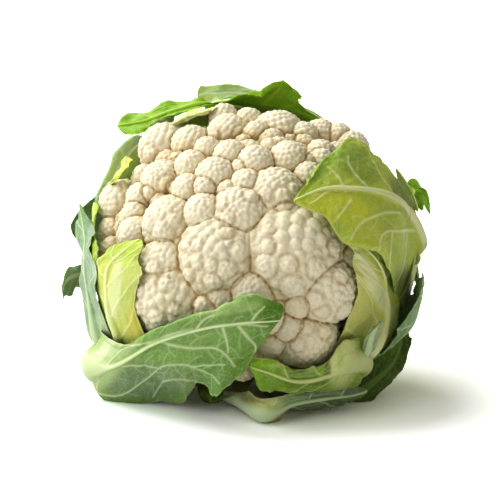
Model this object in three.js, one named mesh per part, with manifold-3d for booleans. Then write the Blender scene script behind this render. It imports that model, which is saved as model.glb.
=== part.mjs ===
// A whole head of cauliflower: a white curd, a short cut stalk and the trimmed leaves round it.
// Millimetres, +Z up, lying on z = 0 with its crown leaning toward the front (-Y) and up.

import * as THREE from 'three';
import Module from 'manifold-3d';
import { mergeVertices } from 'three/addons/utils/BufferGeometryUtils.js';

const wasm = await Module();
wasm.setup();
const { degToRad } = THREE.MathUtils;

// The curd: a flattened dome, its mean surface and how far the florets stand out of it
const CURD_RADIUS = 82;
const CURD_HALF_HEIGHT = 60;
const CURD_MIDDLE = [-4, 3, 0];
const CROWN_AXIS = [-0.24, 0.62, 0.747];
const CREVICE_DEPTH = 7;
const KNOB_STANDS_OUT = 0.26;
const GOLDEN_ANGLE = Math.PI * (3 - Math.sqrt(5));

// The stalk: a short cut stump on the curd's axis, the distances measured from the curd's middle
const STALK_TOP = 56;
const STALK_END = 97.6;
const STALK_RADIUS = 21;
const STALK_FLARE = 3;
const STALK_FLARE_LENGTH = 8;
const STALK_STRAIGHT = 14;
const STALK_CHAMFER = 1.5;

// Leaves: the blade's thickness and the gap a leaf keeps from its neighbours
const BLADE = 1.3;
const GAP = 0.35;

// How a rib fades into the blade, and the widest share of a leaf that it may take
const RIB_FADE = 1.2;
const RIB_SHARE_LIMIT = 0.6;

// Tears and waves grow between these shares of a leaf's length. A tear comes every few rows, and
// the waves of a leaf's two edges are out of step
const FREE_FROM = 0.35;
const FREE_ALL = 0.7;
const TEAR_STEP = 2.4;
const TEAR_START = 5;
const OUT_OF_STEP = 1.7;

// Points in view are given as seen from the front: across and up on the plane through the
// middle, and how far they stand toward the viewer, who is one metre away and 12 degrees up
const VIEW_DISTANCE = 1000;
const VIEW_LIFT = degToRad(12);
const VIEW_MIDDLE = new THREE.Vector3(1.6, -2.1, 83.1);
const RIGHT = new THREE.Vector3(1, 0, 0);
const UP = new THREE.Vector3(0, Math.sin(VIEW_LIFT), Math.cos(VIEW_LIFT));
const TOWARD = new THREE.Vector3(0, -Math.cos(VIEW_LIFT), Math.sin(VIEW_LIFT));
const EYE = VIEW_MIDDLE.clone().addScaledVector(TOWARD, VIEW_DISTANCE);

function seen(across, up, toward) {
  const scale = (VIEW_DISTANCE - toward) / VIEW_DISTANCE;
  return VIEW_MIDDLE.clone().addScaledVector(RIGHT, across * scale)
    .addScaledVector(UP, up * scale).addScaledVector(TOWARD, toward);
}

const MIDDLE = seen(...CURD_MIDDLE);
const CROWN = new THREE.Vector3().addScaledVector(RIGHT, CROWN_AXIS[0])
  .addScaledVector(UP, CROWN_AXIS[1]).addScaledVector(TOWARD, CROWN_AXIS[2]).normalize();
const BACK = new THREE.Vector3(0, 0, 1).addScaledVector(CROWN, -CROWN.z).normalize();
const SIDE = BACK.clone().cross(CROWN);

// A vector from the curd's middle in units of the dome's surface, lifted by some millimetres
function domeUnits(offset, lift) {
  const along = offset.dot(CROWN);
  return offset.clone().addScaledVector(CROWN, -along).divideScalar(CURD_RADIUS + lift)
    .addScaledVector(CROWN, along / (CURD_HALF_HEIGHT + lift));
}

// A point on the side of the lifted dome that faces the viewer
function face(across, up, lift) {
  const ray = seen(across, up, 0).sub(EYE).normalize();
  const start = domeUnits(EYE.clone().sub(MIDDLE), lift);
  const run = domeUnits(ray, lift);
  const a = run.lengthSq();
  const b = start.dot(run);
  const hit = Math.max(b * b - a * (start.lengthSq() - 1), 0);
  return EYE.clone().addScaledVector(ray, (-b - Math.sqrt(hit)) / a);
}

function direction(turn, lean) {
  const flat = BACK.clone().multiplyScalar(Math.cos(degToRad(turn)))
    .addScaledVector(SIDE, Math.sin(degToRad(turn)));
  return flat.multiplyScalar(Math.sin(degToRad(lean))).addScaledVector(CROWN, Math.cos(degToRad(lean)));
}

// A point round the dome: turned about the crown's axis from the back, leaning away from the crown
function round(turn, lean, lift) {
  const ray = direction(turn, lean);
  return MIDDLE.clone().addScaledVector(ray, 1 / domeUnits(ray, lift).length());
}

// A point beside the stalk: how far down from the curd's middle and how far out from the axis
function stem(turn, down, out) {
  return MIDDLE.clone().addScaledVector(CROWN, -down).addScaledVector(direction(turn, 90), out);
}

// Main florets in view, as seen from the front: across, up, radius and how far they stand out
const FLORETS_IN_VIEW = [
  [-15, -6, 27.5, 5], [20, -5, 33.5, 5.5], [-5, 18, 18, 5], [14, 29, 17, 5], [3, 48, 11, 4.5],
  [22, 50, 11.5, 4.5], [16, 64, 15.5, 5], [30, 64, 9, 3], [4, 66, 7.5, 1.5], [-2, 36, 9.5, 3.5],
  [-12, 33, 7, 1], [11, 18, 7, -1], [-1, 11, 7, -1], [19, 21, 7.5, 1.5], [11, 58, 5.5, 0.5],
  [-19, 40, 12.5, 4.5], [-25, 35, 7.5, 3], [-11, 53, 9.5, 4.5], [-12, 65, 12.5, 4.5],
  [-15, 75, 8.5, 2], [-1, 72, 9, 2], [-33, 59, 12, 4.5], [-24, 57, 7.5, 3.5], [-33, 47, 9.5, 4],
  [-35, 34, 9, 3.5], [-26, 20, 11.5, 4.5], [-5, 46, 6, 1.5], [-48, 57, 15.5, 5], [-49, 38, 13, 4.5],
  [-60, 41, 7.5, 2], [-72, 26, 14, 4.5], [-61, 29, 9.5, 3.5], [-65, 20, 7.5, 3], [-76, 10, 10.5, 3.5],
  [-64, 9, 10.5, 3.5], [-77, -1, 9, 2], [-68, -1, 7, 1.5], [-43, 13, 17.5, 5], [-39, 3, 5.5, -2],
  [-56, 32, 6, 1], [-46, -8, 15.5, 4], [-40, -26, 26, 5.5], [-23, -33, 9, 1], [-15, -27, 10.5, 0],
  [1, -24, 13, 2.5], [40, -22, 20, 7], [31, -47, 18.5, 9], [20, -42, 9.5, 2], [26, -31, 8, 1.5],
  [12, -53, 7, 3], [-4, -65, 9, 2.5], [10, -38, 9.5, 3], [54, -6, 8.5, 0.5], [40, 53, 9.5, 3],
  [40, 64, 10.5, 2], [57, 57, 11, 2.5], [49, 54, 7.5, 2], [33, 41, 9, 3.5], [41, 49, 8.5, 3.5],
  [37, 36, 9, 2.5], [32, 49, 5.5, 1], [50, 64, 8.5, 0.5],
];

// Lumps that show on them, as seen from the front: across, up and radius
const LUMPS_IN_VIEW = [
  [-36, 3, 5.5], [-36, -6, 5.5], [-30, -7, 6], [-22, -9, 6], [-13, -12, 8], [-21, -18, 7.5],
  [-8, -18, 7.5], [-6, -1, 7.5], [-13, 10, 5.5], [-34, 12, 5.5], [-30, 3, 5.5], [11, 13, 6.5],
  [10, 2, 6.5], [9, -9, 9.5], [22, -8, 7.5], [38, -10, 8.5], [24, -21, 9.5], [14, -19, 4.5],
  [5, 0, 4], [5, -9, 4], [48, 1, 7.5], [46, -7, 5.5], [-50, 10, 8.5], [-57, 14, 6], [-44, 17, 6],
  [-55, -12, 7.5], [-46, -13, 6.5], [-48, -19, 6.5], [-63, -23, 6.5], [-64, -33, 7.5], [-53, -39, 8],
  [-35, -14, 6.5], [-28, -30, 6], [37, -29, 7.5], [41, -35, 6.5], [54, -35, 8], [50, -42, 5.5],
  [52, -14, 6.5], [32, -43, 6.5], [27, -54, 6], [43, -46, 6], [9, 32, 5.5], [19, 31, 6.5],
  [25, 35, 5.5], [-13, 18, 6], [-16, 26, 5.5], [1, 31, 6], [-57, 54, 7.5], [-44, 51, 6],
  [-47, 37, 6.5], [-21, 66, 6], [-5, 66, 6], [-43, -34, 5.5],
];
const LUMP_STANDS_OUT = 0.24;

// Florets that fill the rest of the dome: large ones on the unseen sides, then small ones between
// A floret keeps clear of the earlier ones by these shares of the other's radius and of its own
const FLORETS_BY_RULE = [
  { count: 150, radius: 13, apart: [0.83, 0.8], standsOut: 4 },
  { count: 420, radius: 8.5, apart: [0.84, 0.45], standsOut: -1 },
  { count: 900, radius: 6, apart: [0.84, 0.3], standsOut: -3 },
];
const FLORETS_LEAN_TO = 118;
const SIZE_SPREAD = 0.2;
const SIZE_STEP = 2.3;

function mainFlorets() {
  const florets = FLORETS_IN_VIEW.map(([across, up, radius, lift]) => {
    const middle = face(across, up, lift - radius).sub(MIDDLE);
    return { middle, radius, ray: middle.clone().normalize() };
  });
  const spread = 1 - Math.cos(degToRad(FLORETS_LEAN_TO));
  for (const { count, radius, apart, standsOut } of FLORETS_BY_RULE) {
    for (let i = 0; i < count; i += 1) {
      const lean = Math.acos(1 - spread * (i + 0.5) / count) * 180 / Math.PI;
      const turn = i * GOLDEN_ANGLE * 180 / Math.PI;
      const size = radius * (1 + SIZE_SPREAD * Math.sin(i * SIZE_STEP));
      const middle = round(turn, lean, standsOut - size).sub(MIDDLE);
      const clear = florets.every((other) => (
        other.middle.distanceTo(middle) > apart[0] * other.radius + apart[1] * size));
      if (clear) florets.push({ middle, radius: size, ray: middle.clone().normalize() });
    }
  }
  return florets;
}

// A ball sunk into the floret where its outline is seen
function lumpInView([across, up, radius], florets) {
  const ray = seen(across, up, 0).sub(EYE).normalize();
  let nearest = Infinity;
  let carrier = florets[0];
  for (const floret of florets) {
    const start = floret.middle.clone().add(MIDDLE).sub(EYE);
    const along = start.dot(ray);
    const inside = floret.radius ** 2 - start.lengthSq() + along * along;
    const hit = inside > 0 ? along - Math.sqrt(inside) : Infinity;
    if (hit < nearest) {
      nearest = hit;
      carrier = floret;
    }
  }
  const out = EYE.clone().addScaledVector(ray, nearest).sub(MIDDLE).sub(carrier.middle).normalize();
  const middle = carrier.middle.clone().addScaledVector(out, carrier.radius - radius * (1 - LUMP_STANDS_OUT));
  return { middle, radius };
}

// Knobs on a floret: a golden-angle spiral from its tip, small at the tip and larger toward its foot
const KNOB = { atTip: 0.25, atFoot: 0.36, smallest: 3.4, spacing: 2.5, firstLean: 0.22, lastLean: 1.9 };

function knobs(floret) {
  const found = [];
  const across = new THREE.Vector3(0, 0, 1).cross(floret.ray).normalize();
  const along = floret.ray.clone().cross(across);
  let lean = KNOB.firstLean;
  for (let i = 0; lean < KNOB.lastLean; i += 1) {
    const share = lean / KNOB.lastLean;
    const size = Math.max(floret.radius * (KNOB.atTip + (KNOB.atFoot - KNOB.atTip) * share), KNOB.smallest);
    const turn = i * GOLDEN_ANGLE + floret.radius;
    const ray = floret.ray.clone().multiplyScalar(Math.cos(lean))
      .addScaledVector(across, Math.sin(lean) * Math.cos(turn))
      .addScaledVector(along, Math.sin(lean) * Math.sin(turn));
    const sink = size - KNOB_STANDS_OUT * size;
    found.push({ middle: floret.middle.clone().addScaledVector(ray, floret.radius - sink), radius: size });
    lean += KNOB.spacing * size * size / (2 * Math.PI * floret.radius * floret.radius * Math.sin(lean));
  }
  return found;
}

// How far the curd reaches along a ray from its middle
function reach(ray, balls, lift) {
  let far = 1 / domeUnits(ray, lift - CREVICE_DEPTH).length();
  for (const ball of balls) {
    const near = ray.dot(ball.middle);
    const radius = ball.radius + lift;
    const inside = radius * radius - ball.middle.lengthSq() + near * near;
    if (near > 0 && inside > 0) far = Math.max(far, near + Math.sqrt(inside));
  }
  return far;
}

const CURD_DETAIL = 15;
const CROWN_DENSITY = 0.2;

function curdGeometry(balls, detail, lift) {
  const ball = new THREE.IcosahedronGeometry(1, detail);
  ball.deleteAttribute('normal');
  ball.deleteAttribute('uv');
  const geometry = mergeVertices(ball, 1e-5);
  const place = geometry.getAttribute('position');
  const toCrown = new THREE.Quaternion().setFromUnitVectors(new THREE.Vector3(0, 0, 1), CROWN);
  const ray = new THREE.Vector3();
  for (let i = 0; i < place.count; i += 1) {
    ray.fromBufferAttribute(place, i);
    const lean = Math.acos(THREE.MathUtils.clamp(ray.z, -1, 1));
    const turn = Math.atan2(ray.y, ray.x);
    const closer = lean - CROWN_DENSITY * Math.sin(lean);
    ray.setFromSphericalCoords(1, closer, turn);
    ray.set(ray.z, ray.x, ray.y).applyQuaternion(toCrown);
    ray.multiplyScalar(reach(ray, balls, lift)).add(MIDDLE);
    place.setXYZ(i, ray.x, ray.y, ray.z);
  }
  return geometry;
}

// Each leaf has stations from its foot to its tip. A station is three points: one edge, the rib
// and the other edge. rib is its half width and its height at the foot and at the tip. wave is the
// height and number of the waves along the edges, and ragged how far the edges are torn in and out.
const LEAVES = {
  leaf_left_inner: {
    rows: 9, rib: [6, 2, 4, 1], wave: [0.6, 3], ragged: 1, lift: 6.4,
    stations: [
      [stem(262, 62, 24.8), stem(240, 62, 24.8), stem(218, 62, 24.8)],
      [round(258, 122, 8), round(240, 122, 9), round(222, 122, 8)],
      [seen(-80, -46, 4), seen(-73, -47, 24), seen(-54, -52, 42)],
      [seen(-83, -28, 14), seen(-76, -28, 30), seen(-61, -29, 48)],
      [seen(-81, -11, 18), seen(-76, -10, 34), seen(-60, -12, 53)],
      [seen(-75, -1, 26), seen(-70, -2, 42), seen(-61, -3, 51)],
      [seen(-64, 6, 46), seen(-61, 6, 50), seen(-59, 4, 53)],
    ],
  },
  leaf_left_side: {
    rows: 9, rib: [5, 2, 3, 1], wave: [0.6, 3], ragged: 1, lift: 7,
    stations: [
      [stem(286, 64, 24.8), stem(268, 64, 24.8), stem(252, 64, 24.8)],
      [round(272, 122, 11), round(258, 122, 12), round(246, 122, 11)],
      [seen(-86, -40, -4), seen(-82, -41, 2), seen(-78, -43, 6)],
      [seen(-89, -18, 0), seen(-86, -17, 8), seen(-82, -16, 14)],
      [seen(-89, -3, 2), seen(-85, -3, 10), seen(-79, -3, 22)],
      [seen(-90, 12, -4), seen(-88, 14, 2), seen(-85, 11, 8)],
      [seen(-89, 26, -14), seen(-88, 27, -10), seen(-86, 27, -6)],
    ],
  },
  leaf_upper_left_inner: {
    rows: 7, rib: [4, 1.5, 2.5, 1], wave: [0.5, 3], ragged: 1, lift: 6.4,
    stations: [
      [round(300, 128, 7), round(290, 128, 7), round(280, 128, 7)],
      [round(302, 100, 7), round(292, 100, 7), round(282, 98, 7)],
      [seen(-77, 37, -4), seen(-73, 38, 0), seen(-69, 39, 5)],
      [seen(-75, 45, -6), seen(-71, 46, -2), seen(-66, 46, 3)],
      [seen(-72, 52, -8), seen(-70, 53, -6), seen(-67, 52, -3)],
    ],
  },
  leaf_top_inner: {
    rows: 7, rib: [4, 1.5, 2.5, 1], wave: [0.5, 3], ragged: 1, lift: 7.4,
    stations: [
      [round(326, 128, 7), round(338, 128, 7), round(350, 128, 7)],
      [round(322, 92, 7), round(338, 92, 7), round(354, 92, 7)],
      [seen(-48, 67, -12), seen(-36, 73, -10), seen(-22, 76, -8)],
      [seen(-44, 74, -18), seen(-34, 80, -18), seen(-24, 81, -16)],
    ],
  },
  leaf_right_inner: {
    rows: 11, rib: [7, 2, 4.5, 1.5], wave: [0.6, 4], ragged: 0.8, lift: 6.4,
    stations: [
      [stem(156, 62, 24.8), stem(132, 62, 24.8), stem(108, 62, 24.8)],
      [round(150, 122, 8), round(130, 122, 9), round(110, 122, 8)],
      [seen(47, -57, 44), seen(67, -58, 30), seen(73, -57, 18)],
      [seen(50, -43, 50), seen(76, -43, 28), seen(82, -43, 16)],
      [seen(55, -28, 53), seen(77, -28, 31), seen(84, -28, 18)],
      [seen(57, -11, 58), seen(71, -11, 43), seen(78, -11, 30)],
      [seen(56, 0, 60), seen(63, 0, 53), seen(67, 0, 48)],
      [seen(52, 6, 62), seen(55, 6, 61), seen(58, 5, 59)],
    ],
  },
  leaf_under: {
    rows: 6, rib: [4, 1.5, 2, 1], wave: [0.5, 2], ragged: 1, lift: 6.4,
    stations: [
      [round(208, 128, 8), round(200, 128, 8), round(192, 128, 8)],
      [seen(-30, -74, 14), seen(-23, -75, 15), seen(-16, -76, 15)],
      [seen(-29, -82, 24), seen(-23, -83, 25), seen(-16, -83, 26)],
      [seen(-27, -86, 28), seen(-22, -87, 28), seen(-17, -86, 29)],
    ],
  },
  leaf_upper_left: {
    rows: 10, rib: [8, 2, 5, 1.5], wave: [1, 3], ragged: 1.2, lift: 9,
    stations: [
      [stem(308, 70, 24.8), stem(290, 70, 24.8), stem(272, 70, 24.8)],
      [round(312, 122, 10), round(292, 122, 12), round(272, 120, 12)],
      [seen(-88, 25, -34), seen(-83, 27, -36), seen(-72, 30, -42)],
      [seen(-83, 40, -34), seen(-78, 40, -36), seen(-64, 38, -46)],
      [seen(-79, 51, -32), seen(-73, 50, -34), seen(-60, 46, -46)],
      [seen(-73, 60, -30), seen(-67, 58, -32), seen(-57, 53, -42)],
      [seen(-64, 67, -28), seen(-60, 64, -30), seen(-56, 59, -36)],
    ],
  },
  leaf_top_left_low: {
    rows: 6, rib: [3, 1.5, 2, 1], wave: [0.6, 2], ragged: 1, lift: 13,
    stations: [
      [round(310, 98, 15), round(319, 98, 15), round(328, 98, 15)],
      [seen(-43, 76, -26), seen(-46, 71, -24), seen(-49, 65, -22)],
      [seen(-50, 75, -29), seen(-53, 69, -26), seen(-56, 62, -24)],
      [seen(-57, 72, -31), seen(-58, 66, -29), seen(-60, 61, -27)],
    ],
  },
  leaf_top_left: {
    rows: 11, rib: [7, 2, 4.5, 1.5], wave: [1.4, 4], ragged: 1.6, lift: 12,
    stations: [
      [stem(318, 70, 24.8), stem(334, 70, 24.8), stem(350, 70, 24.8)],
      [round(320, 124, 13), round(335, 124, 14), round(350, 124, 13)],
      [round(326, 98, 13), round(339, 98, 13), round(352, 98, 13)],
      [seen(-28, 86, -38), seen(-25, 82, -34), seen(-27, 78, -26)],
      [seen(-43, 84, -40), seen(-42, 79, -34), seen(-42, 75, -26)],
      [seen(-60, 79, -44), seen(-59, 73, -38), seen(-58, 67, -32)],
      [seen(-75, 75, -48), seen(-75, 70, -44), seen(-74, 65, -38)],
    ],
  },
  leaf_top: {
    rows: 12, rib: [8, 2, 5, 1.5], wave: [1.8, 4], ragged: 1.6, lift: 12,
    stations: [
      [stem(352, 74, 24.8), stem(8, 74, 24.8), stem(24, 74, 24.8)],
      [round(353, 126, 13), round(11, 126, 15), round(30, 126, 13)],
      [round(358, 98, 13), round(12, 96, 14), round(31, 94, 13)],
      [seen(-22, 83, -34), seen(8, 81, -42), seen(42, 69, -40)],
      [seen(-8, 86, -28), seen(12, 87, -36), seen(36, 76, -38)],
      [seen(6, 88, -24), seen(17, 92, -32), seen(28, 86, -34)],
      [seen(12, 94, -24), seen(19, 96, -28), seen(26, 92, -30)],
    ],
  },
  leaf_bottom_stub: {
    rows: 12, rib: [9, 2, 6, 1], wave: [1, 4], ragged: 0.8, lift: 11,
    stations: [
      [stem(134, 70, 24.8), stem(150, 70, 24.8), stem(166, 70, 24.8)],
      [round(134, 128, 16), round(148, 128, 17), round(162, 128, 16)],
      [seen(65, -53, 24), seen(64, -66, 26), seen(61, -77, 20)],
      [seen(57, -50, 50), seen(54, -64, 52), seen(52, -79, 36)],
      [seen(44, -64, 56), seen(43, -71, 56), seen(41, -80, 44)],
      [seen(28, -69, 60), seen(27, -74, 60), seen(27, -81, 50)],
      [seen(12, -61, 68), seen(10, -69, 66), seen(8, -80, 56)],
      [seen(-2, -60, 68), seen(0, -66, 68), seen(3, -76, 62)],
    ],
  },
  leaf_right_point: {
    rows: 5, rib: [3, 1, 2, 0.8], wave: [0.4, 2], ragged: 0.4, lift: 14,
    stations: [
      [round(130, 104, 14), round(124, 104, 15), round(118, 104, 14)],
      [seen(63, -58, 42), seen(66, -58, 42), seen(70, -57, 38)],
      [seen(66, -48, 45), seen(69, -49, 45), seen(73, -49, 41)],
      [seen(73, -39, 42), seen(74, -40, 42), seen(75, -40, 41)],
    ],
  },
  leaf_left_outer: {
    rows: 11, rib: [7, 2, 5, 1.5], wave: [1.2, 4], ragged: 1.4, lift: 8.5,
    stations: [
      [stem(268, 72, 24.8), stem(250, 72, 24.8), stem(234, 72, 24.8)],
      [round(268, 124, 15), round(254, 124, 16), round(240, 124, 15)],
      [seen(-89, -52, -12), seen(-84, -52, -2), seen(-77, -48, 14)],
      [seen(-95, -30, -8), seen(-90, -29, 4), seen(-82, -28, 24)],
      [seen(-96, -10, -8), seen(-92, -8, 4), seen(-85, -8, 22)],
      [seen(-98, 10, -14), seen(-93, 9, -4), seen(-86, 7, 14)],
      [seen(-98, 28, -22), seen(-96, 26, -14), seen(-92, 22, -4)],
    ],
  },
  leaf_left_flap: {
    rows: 7, rib: [3, 1, 2, 1], wave: [1.2, 2], ragged: 1.4, lift: 14,
    stations: [
      [round(286, 108, 16), round(276, 112, 18), round(266, 114, 16)],
      [seen(-90, -9, -26), seen(-90, -16, -26), seen(-90, -24, -26)],
      [seen(-98, -8, -20), seen(-97, -14, -18), seen(-98, -22, -20)],
      [seen(-104, -11, -14), seen(-104, -17, -12), seen(-103, -25, -14)],
      [seen(-107, -18, -10), seen(-107, -23, -8), seen(-105, -29, -8)],
    ],
  },
  leaf_right: {
    rows: 14, rib: [9, 2.5, 6, 1.5], wave: [1.2, 4], ragged: 1, lift: 11,
    stations: [
      [stem(58, 74, 24.8), stem(78, 74, 24.8), stem(98, 74, 24.8)],
      [round(52, 124, 14), round(76, 124, 16), round(100, 122, 13)],
      [round(52, 106, 16), round(76, 104, 17), round(98, 104, 15)],
      [seen(90, 24, -20), seen(96, 3, -6), seen(88, -34, 2)],
      [seen(82, 39, -6), seen(89, 20, 12), seen(83, -28, 22)],
      [seen(72, 53, 8), seen(73, 29, 34), seen(69, -5, 46)],
      [seen(55, 58, 20), seen(55, 33, 52), seen(53, 4, 66)],
      [seen(42, 52, 42), seen(40, 33, 60), seen(41, 19, 68)],
      [seen(31, 35, 62), seen(24, 27, 67), seen(32, 22, 68)],
    ],
  },
  leaf_right_curl: {
    rows: 6, rib: [3, 1, 2, 1], wave: [1.4, 2], ragged: 1.6, lift: 16,
    stations: [
      [round(44, 96, 20), round(54, 98, 21), round(64, 98, 20)],
      [seen(86, 36, -32), seen(89, 31, -32), seen(92, 25, -30)],
      [seen(93, 40, -28), seen(97, 34, -28), seen(99, 24, -26)],
      [seen(100, 36, -24), seen(102, 31, -24), seen(103, 22, -22)],
    ],
  },
  leaf_bottom_right: {
    rows: 11, rib: [7, 2, 5, 1.5], wave: [1.4, 4], ragged: 2.2, lift: 14,
    stations: [
      [stem(118, 76, 24.8), stem(134, 76, 24.8), stem(150, 76, 24.8)],
      [round(112, 130, 18), round(126, 130, 20), round(140, 132, 18)],
      [seen(56, -72, 6), seen(58, -83, 8), seen(62, -91, 5)],
      [seen(67, -64, 4), seen(72, -74, 6), seen(76, -80, 2)],
      [seen(76, -52, -2), seen(82, -64, 0), seen(86, -70, -2)],
      [seen(80, -42, -8), seen(86, -53, -6), seen(91, -54, -6)],
      [seen(84, -35, -14), seen(87, -38, -12), seen(90, -37, -10)],
    ],
  },
  leaf_front_left: {
    rows: 15, rib: [13, 2, 8, 1.5], wave: [1.2, 5], ragged: 1.4, lift: 12,
    stations: [
      [stem(244, 80, 23.6), stem(226, 80, 23.6), stem(208, 80, 23.6)],
      [round(240, 132, 18), round(228, 132, 22), round(214, 132, 17)],
      [round(244, 112, 17), round(232, 114, 27), round(220, 116, 24)],
      [seen(-80, -43, 8), seen(-89, -65, 4), seen(-84, -84, 1)],
      [seen(-66, -48, 36), seen(-77, -66, 26), seen(-70, -89, 3)],
      [seen(-48, -47, 62), seen(-52, -51, 63), seen(-42, -85, 20)],
      [seen(-26, -38, 76), seen(-27, -44, 77), seen(-28, -78, 50)],
      [seen(-3, -27, 82), seen(-4, -41, 82), seen(-14, -80, 62)],
      [seen(23, -31, 82), seen(17, -40, 82), seen(5, -57, 78)],
    ],
  },
  leaf_bottom_front: {
    rows: 12, rib: [9, 2, 6, 1.2], wave: [0.8, 3], ragged: 0.8, lift: 8,
    stations: [
      [stem(196, 72, 24.8), stem(180, 72, 24.8), stem(164, 72, 24.8)],
      [round(196, 126, 8), round(184, 126, 8), round(170, 126, 8)],
      [seen(-4, -78, 28), seen(-1, -86, 29), seen(3, -91, 26)],
      [seen(9, -85, 50), seen(10, -92, 48), seen(11, -99, 38)],
      [seen(23, -82, 48), seen(23, -87, 46), seen(22, -92, 34)],
      [seen(40, -79, 38), seen(41, -84, 37), seen(41, -90, 26)],
      [seen(57, -77, 28), seen(58, -82, 27), seen(57, -87, 19)],
      [seen(65, -78, 22), seen(66, -80, 22), seen(65, -82, 20)],
    ],
  },
  leaf_top_back: {
    rows: 10, rib: [10, 8, 7, 5], wave: [0.6, 3], ragged: 0.6, lift: 20,
    stations: [
      [stem(28, 82, 23.6), stem(10, 82, 23.6), stem(352, 82, 23.6)],
      [round(26, 128, 22), round(10, 128, 24), round(354, 128, 22)],
      [round(18, 98, 20), round(9, 98, 23), round(0, 98, 20)],
      [seen(12, 88, -56), seen(8, 87, -54), seen(6, 83, -48)],
      [seen(-8, 94, -54), seen(-10, 90, -52), seen(-10, 84, -46)],
      [seen(-28, 94, -52), seen(-30, 89, -50), seen(-28, 84, -46)],
    ],
  },
  leaf_back_left: {
    rows: 10, rib: [11, 3, 7, 1.5], wave: [1.6, 4], ragged: 1.8, lift: 17,
    stations: [
      [stem(320, 84, 23.6), stem(300, 84, 23.6), stem(280, 84, 23.6)],
      [round(326, 130, 20), round(302, 130, 22), round(274, 130, 21)],
      [round(332, 110, 19), round(302, 110, 21), round(268, 112, 23)],
      [round(330, 99, 18), round(304, 97, 19), round(268, 96, 26)],
      [round(326, 93, 18), round(304, 90, 17), round(274, 85, 26)],
    ],
  },
  leaf_back_right: {
    rows: 10, rib: [11, 3, 7, 1.5], wave: [1.6, 4], ragged: 1.8, lift: 19,
    stations: [
      [stem(30, 88, 22.4), stem(50, 88, 22.4), stem(70, 88, 22.4)],
      [round(26, 132, 24), round(50, 132, 26), round(76, 132, 24)],
      [round(24, 118, 22), round(50, 118, 22), round(80, 118, 24)],
      [round(26, 111, 20), round(50, 110, 20), round(78, 112, 23)],
      [round(34, 106, 18), round(48, 105, 18), round(62, 106, 19)],
    ],
  },
  leaf_back_low: {
    rows: 9, rib: [11, 4, 7, 2], wave: [1.2, 3], ragged: 1.2, lift: 16,
    stations: [
      [stem(92, 86, 23.6), stem(112, 86, 23.6), stem(132, 86, 23.6)],
      [round(88, 130, 20), round(108, 130, 22), round(128, 134, 18)],
      [round(86, 112, 22), round(102, 112, 26), round(116, 116, 22)],
      [round(88, 98, 22), round(98, 97, 26), round(108, 102, 24)],
    ],
  },
};

// Columns across a leaf, from -1 at one edge over 0 at the rib to 1 at the other edge
const WIDE_COLUMNS = [1, 0.68, 0.36];
const NARROW_COLUMNS = [1, 0.5];
const NARROW_ROWS = 9;

function columns(share, outer) {
  const right = [...outer.map((c) => share + c * (1 - share)), share];
  return [...right.map((c) => -c), 0, ...right.reverse()];
}

// The middle surface of a leaf as rows of points, with its edges torn and waved
function leafRows(leaf, seed, reachOut) {
  const curves = [0, 1, 2].map((side) => new THREE.CatmullRomCurve3(
    leaf.stations.map((station) => station[side]), false, 'centripetal'));
  const outer = leaf.rows > NARROW_ROWS ? WIDE_COLUMNS : NARROW_COLUMNS;
  const rows = [];
  for (let i = 0; i <= leaf.rows; i += 1) {
    const t = i / leaf.rows;
    const [left, rib, right] = curves.map((curve) => curve.getPoint(t));
    const half = left.distanceTo(right) / 2;
    const ribHalf = THREE.MathUtils.lerp(leaf.rib[0], leaf.rib[1], t);
    const share = Math.min(ribHalf / half, RIB_SHARE_LIMIT);
    const skew = right.clone().sub(left).divideScalar(2);
    const bow = right.clone().add(left).divideScalar(2).sub(rib);
    const ribHeight = THREE.MathUtils.lerp(leaf.rib[2], leaf.rib[3], t);
    const free = THREE.MathUtils.smoothstep(t, FREE_FROM, FREE_ALL);
    const tear = leaf.ragged * free * Math.sin(seed * TEAR_START + i * TEAR_STEP) + reachOut;
    const waveTurn = 2 * Math.PI * leaf.wave[1] * t + seed;
    rows.push(columns(share, outer).map((s) => {
      const wide = s * (1 + tear * Math.abs(s) / half);
      return {
        point: rib.clone().addScaledVector(skew, wide).addScaledVector(bow, wide * wide),
        wave: leaf.wave[0] * free * s * s * Math.sin(waveTurn + (s > 0 ? OUT_OF_STEP : 0)),
        height: BLADE + ribHeight * Math.max(0, 1 - Math.abs(s) / share / RIB_FADE),
      };
    }));
  }
  return rows;
}

function normalsOf(rows) {
  const last = rows.length - 1;
  const edge = rows[0].length - 1;
  const normals = rows.map((row, i) => row.map((cell, j) => {
    const along = rows[Math.min(i + 1, last)][j].point.clone().sub(rows[Math.max(i - 1, 0)][j].point);
    const across = row[Math.min(j + 1, edge)].point.clone().sub(row[Math.max(j - 1, 0)].point);
    return along.cross(across).normalize();
  }));
  let outward = 0;
  rows.forEach((row, i) => row.forEach((cell, j) => {
    outward += normals[i][j].dot(cell.point.clone().sub(MIDDLE));
  }));
  return { normals, flip: outward < 0 ? -1 : 1 };
}

// Moves a row of points away from its neighbour
function stretchRow(row, neighbour, distance) {
  row.forEach((cell, j) => {
    const away = cell.point.clone().sub(neighbour[j].point).normalize();
    cell.point.addScaledVector(away, distance);
  });
}

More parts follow.
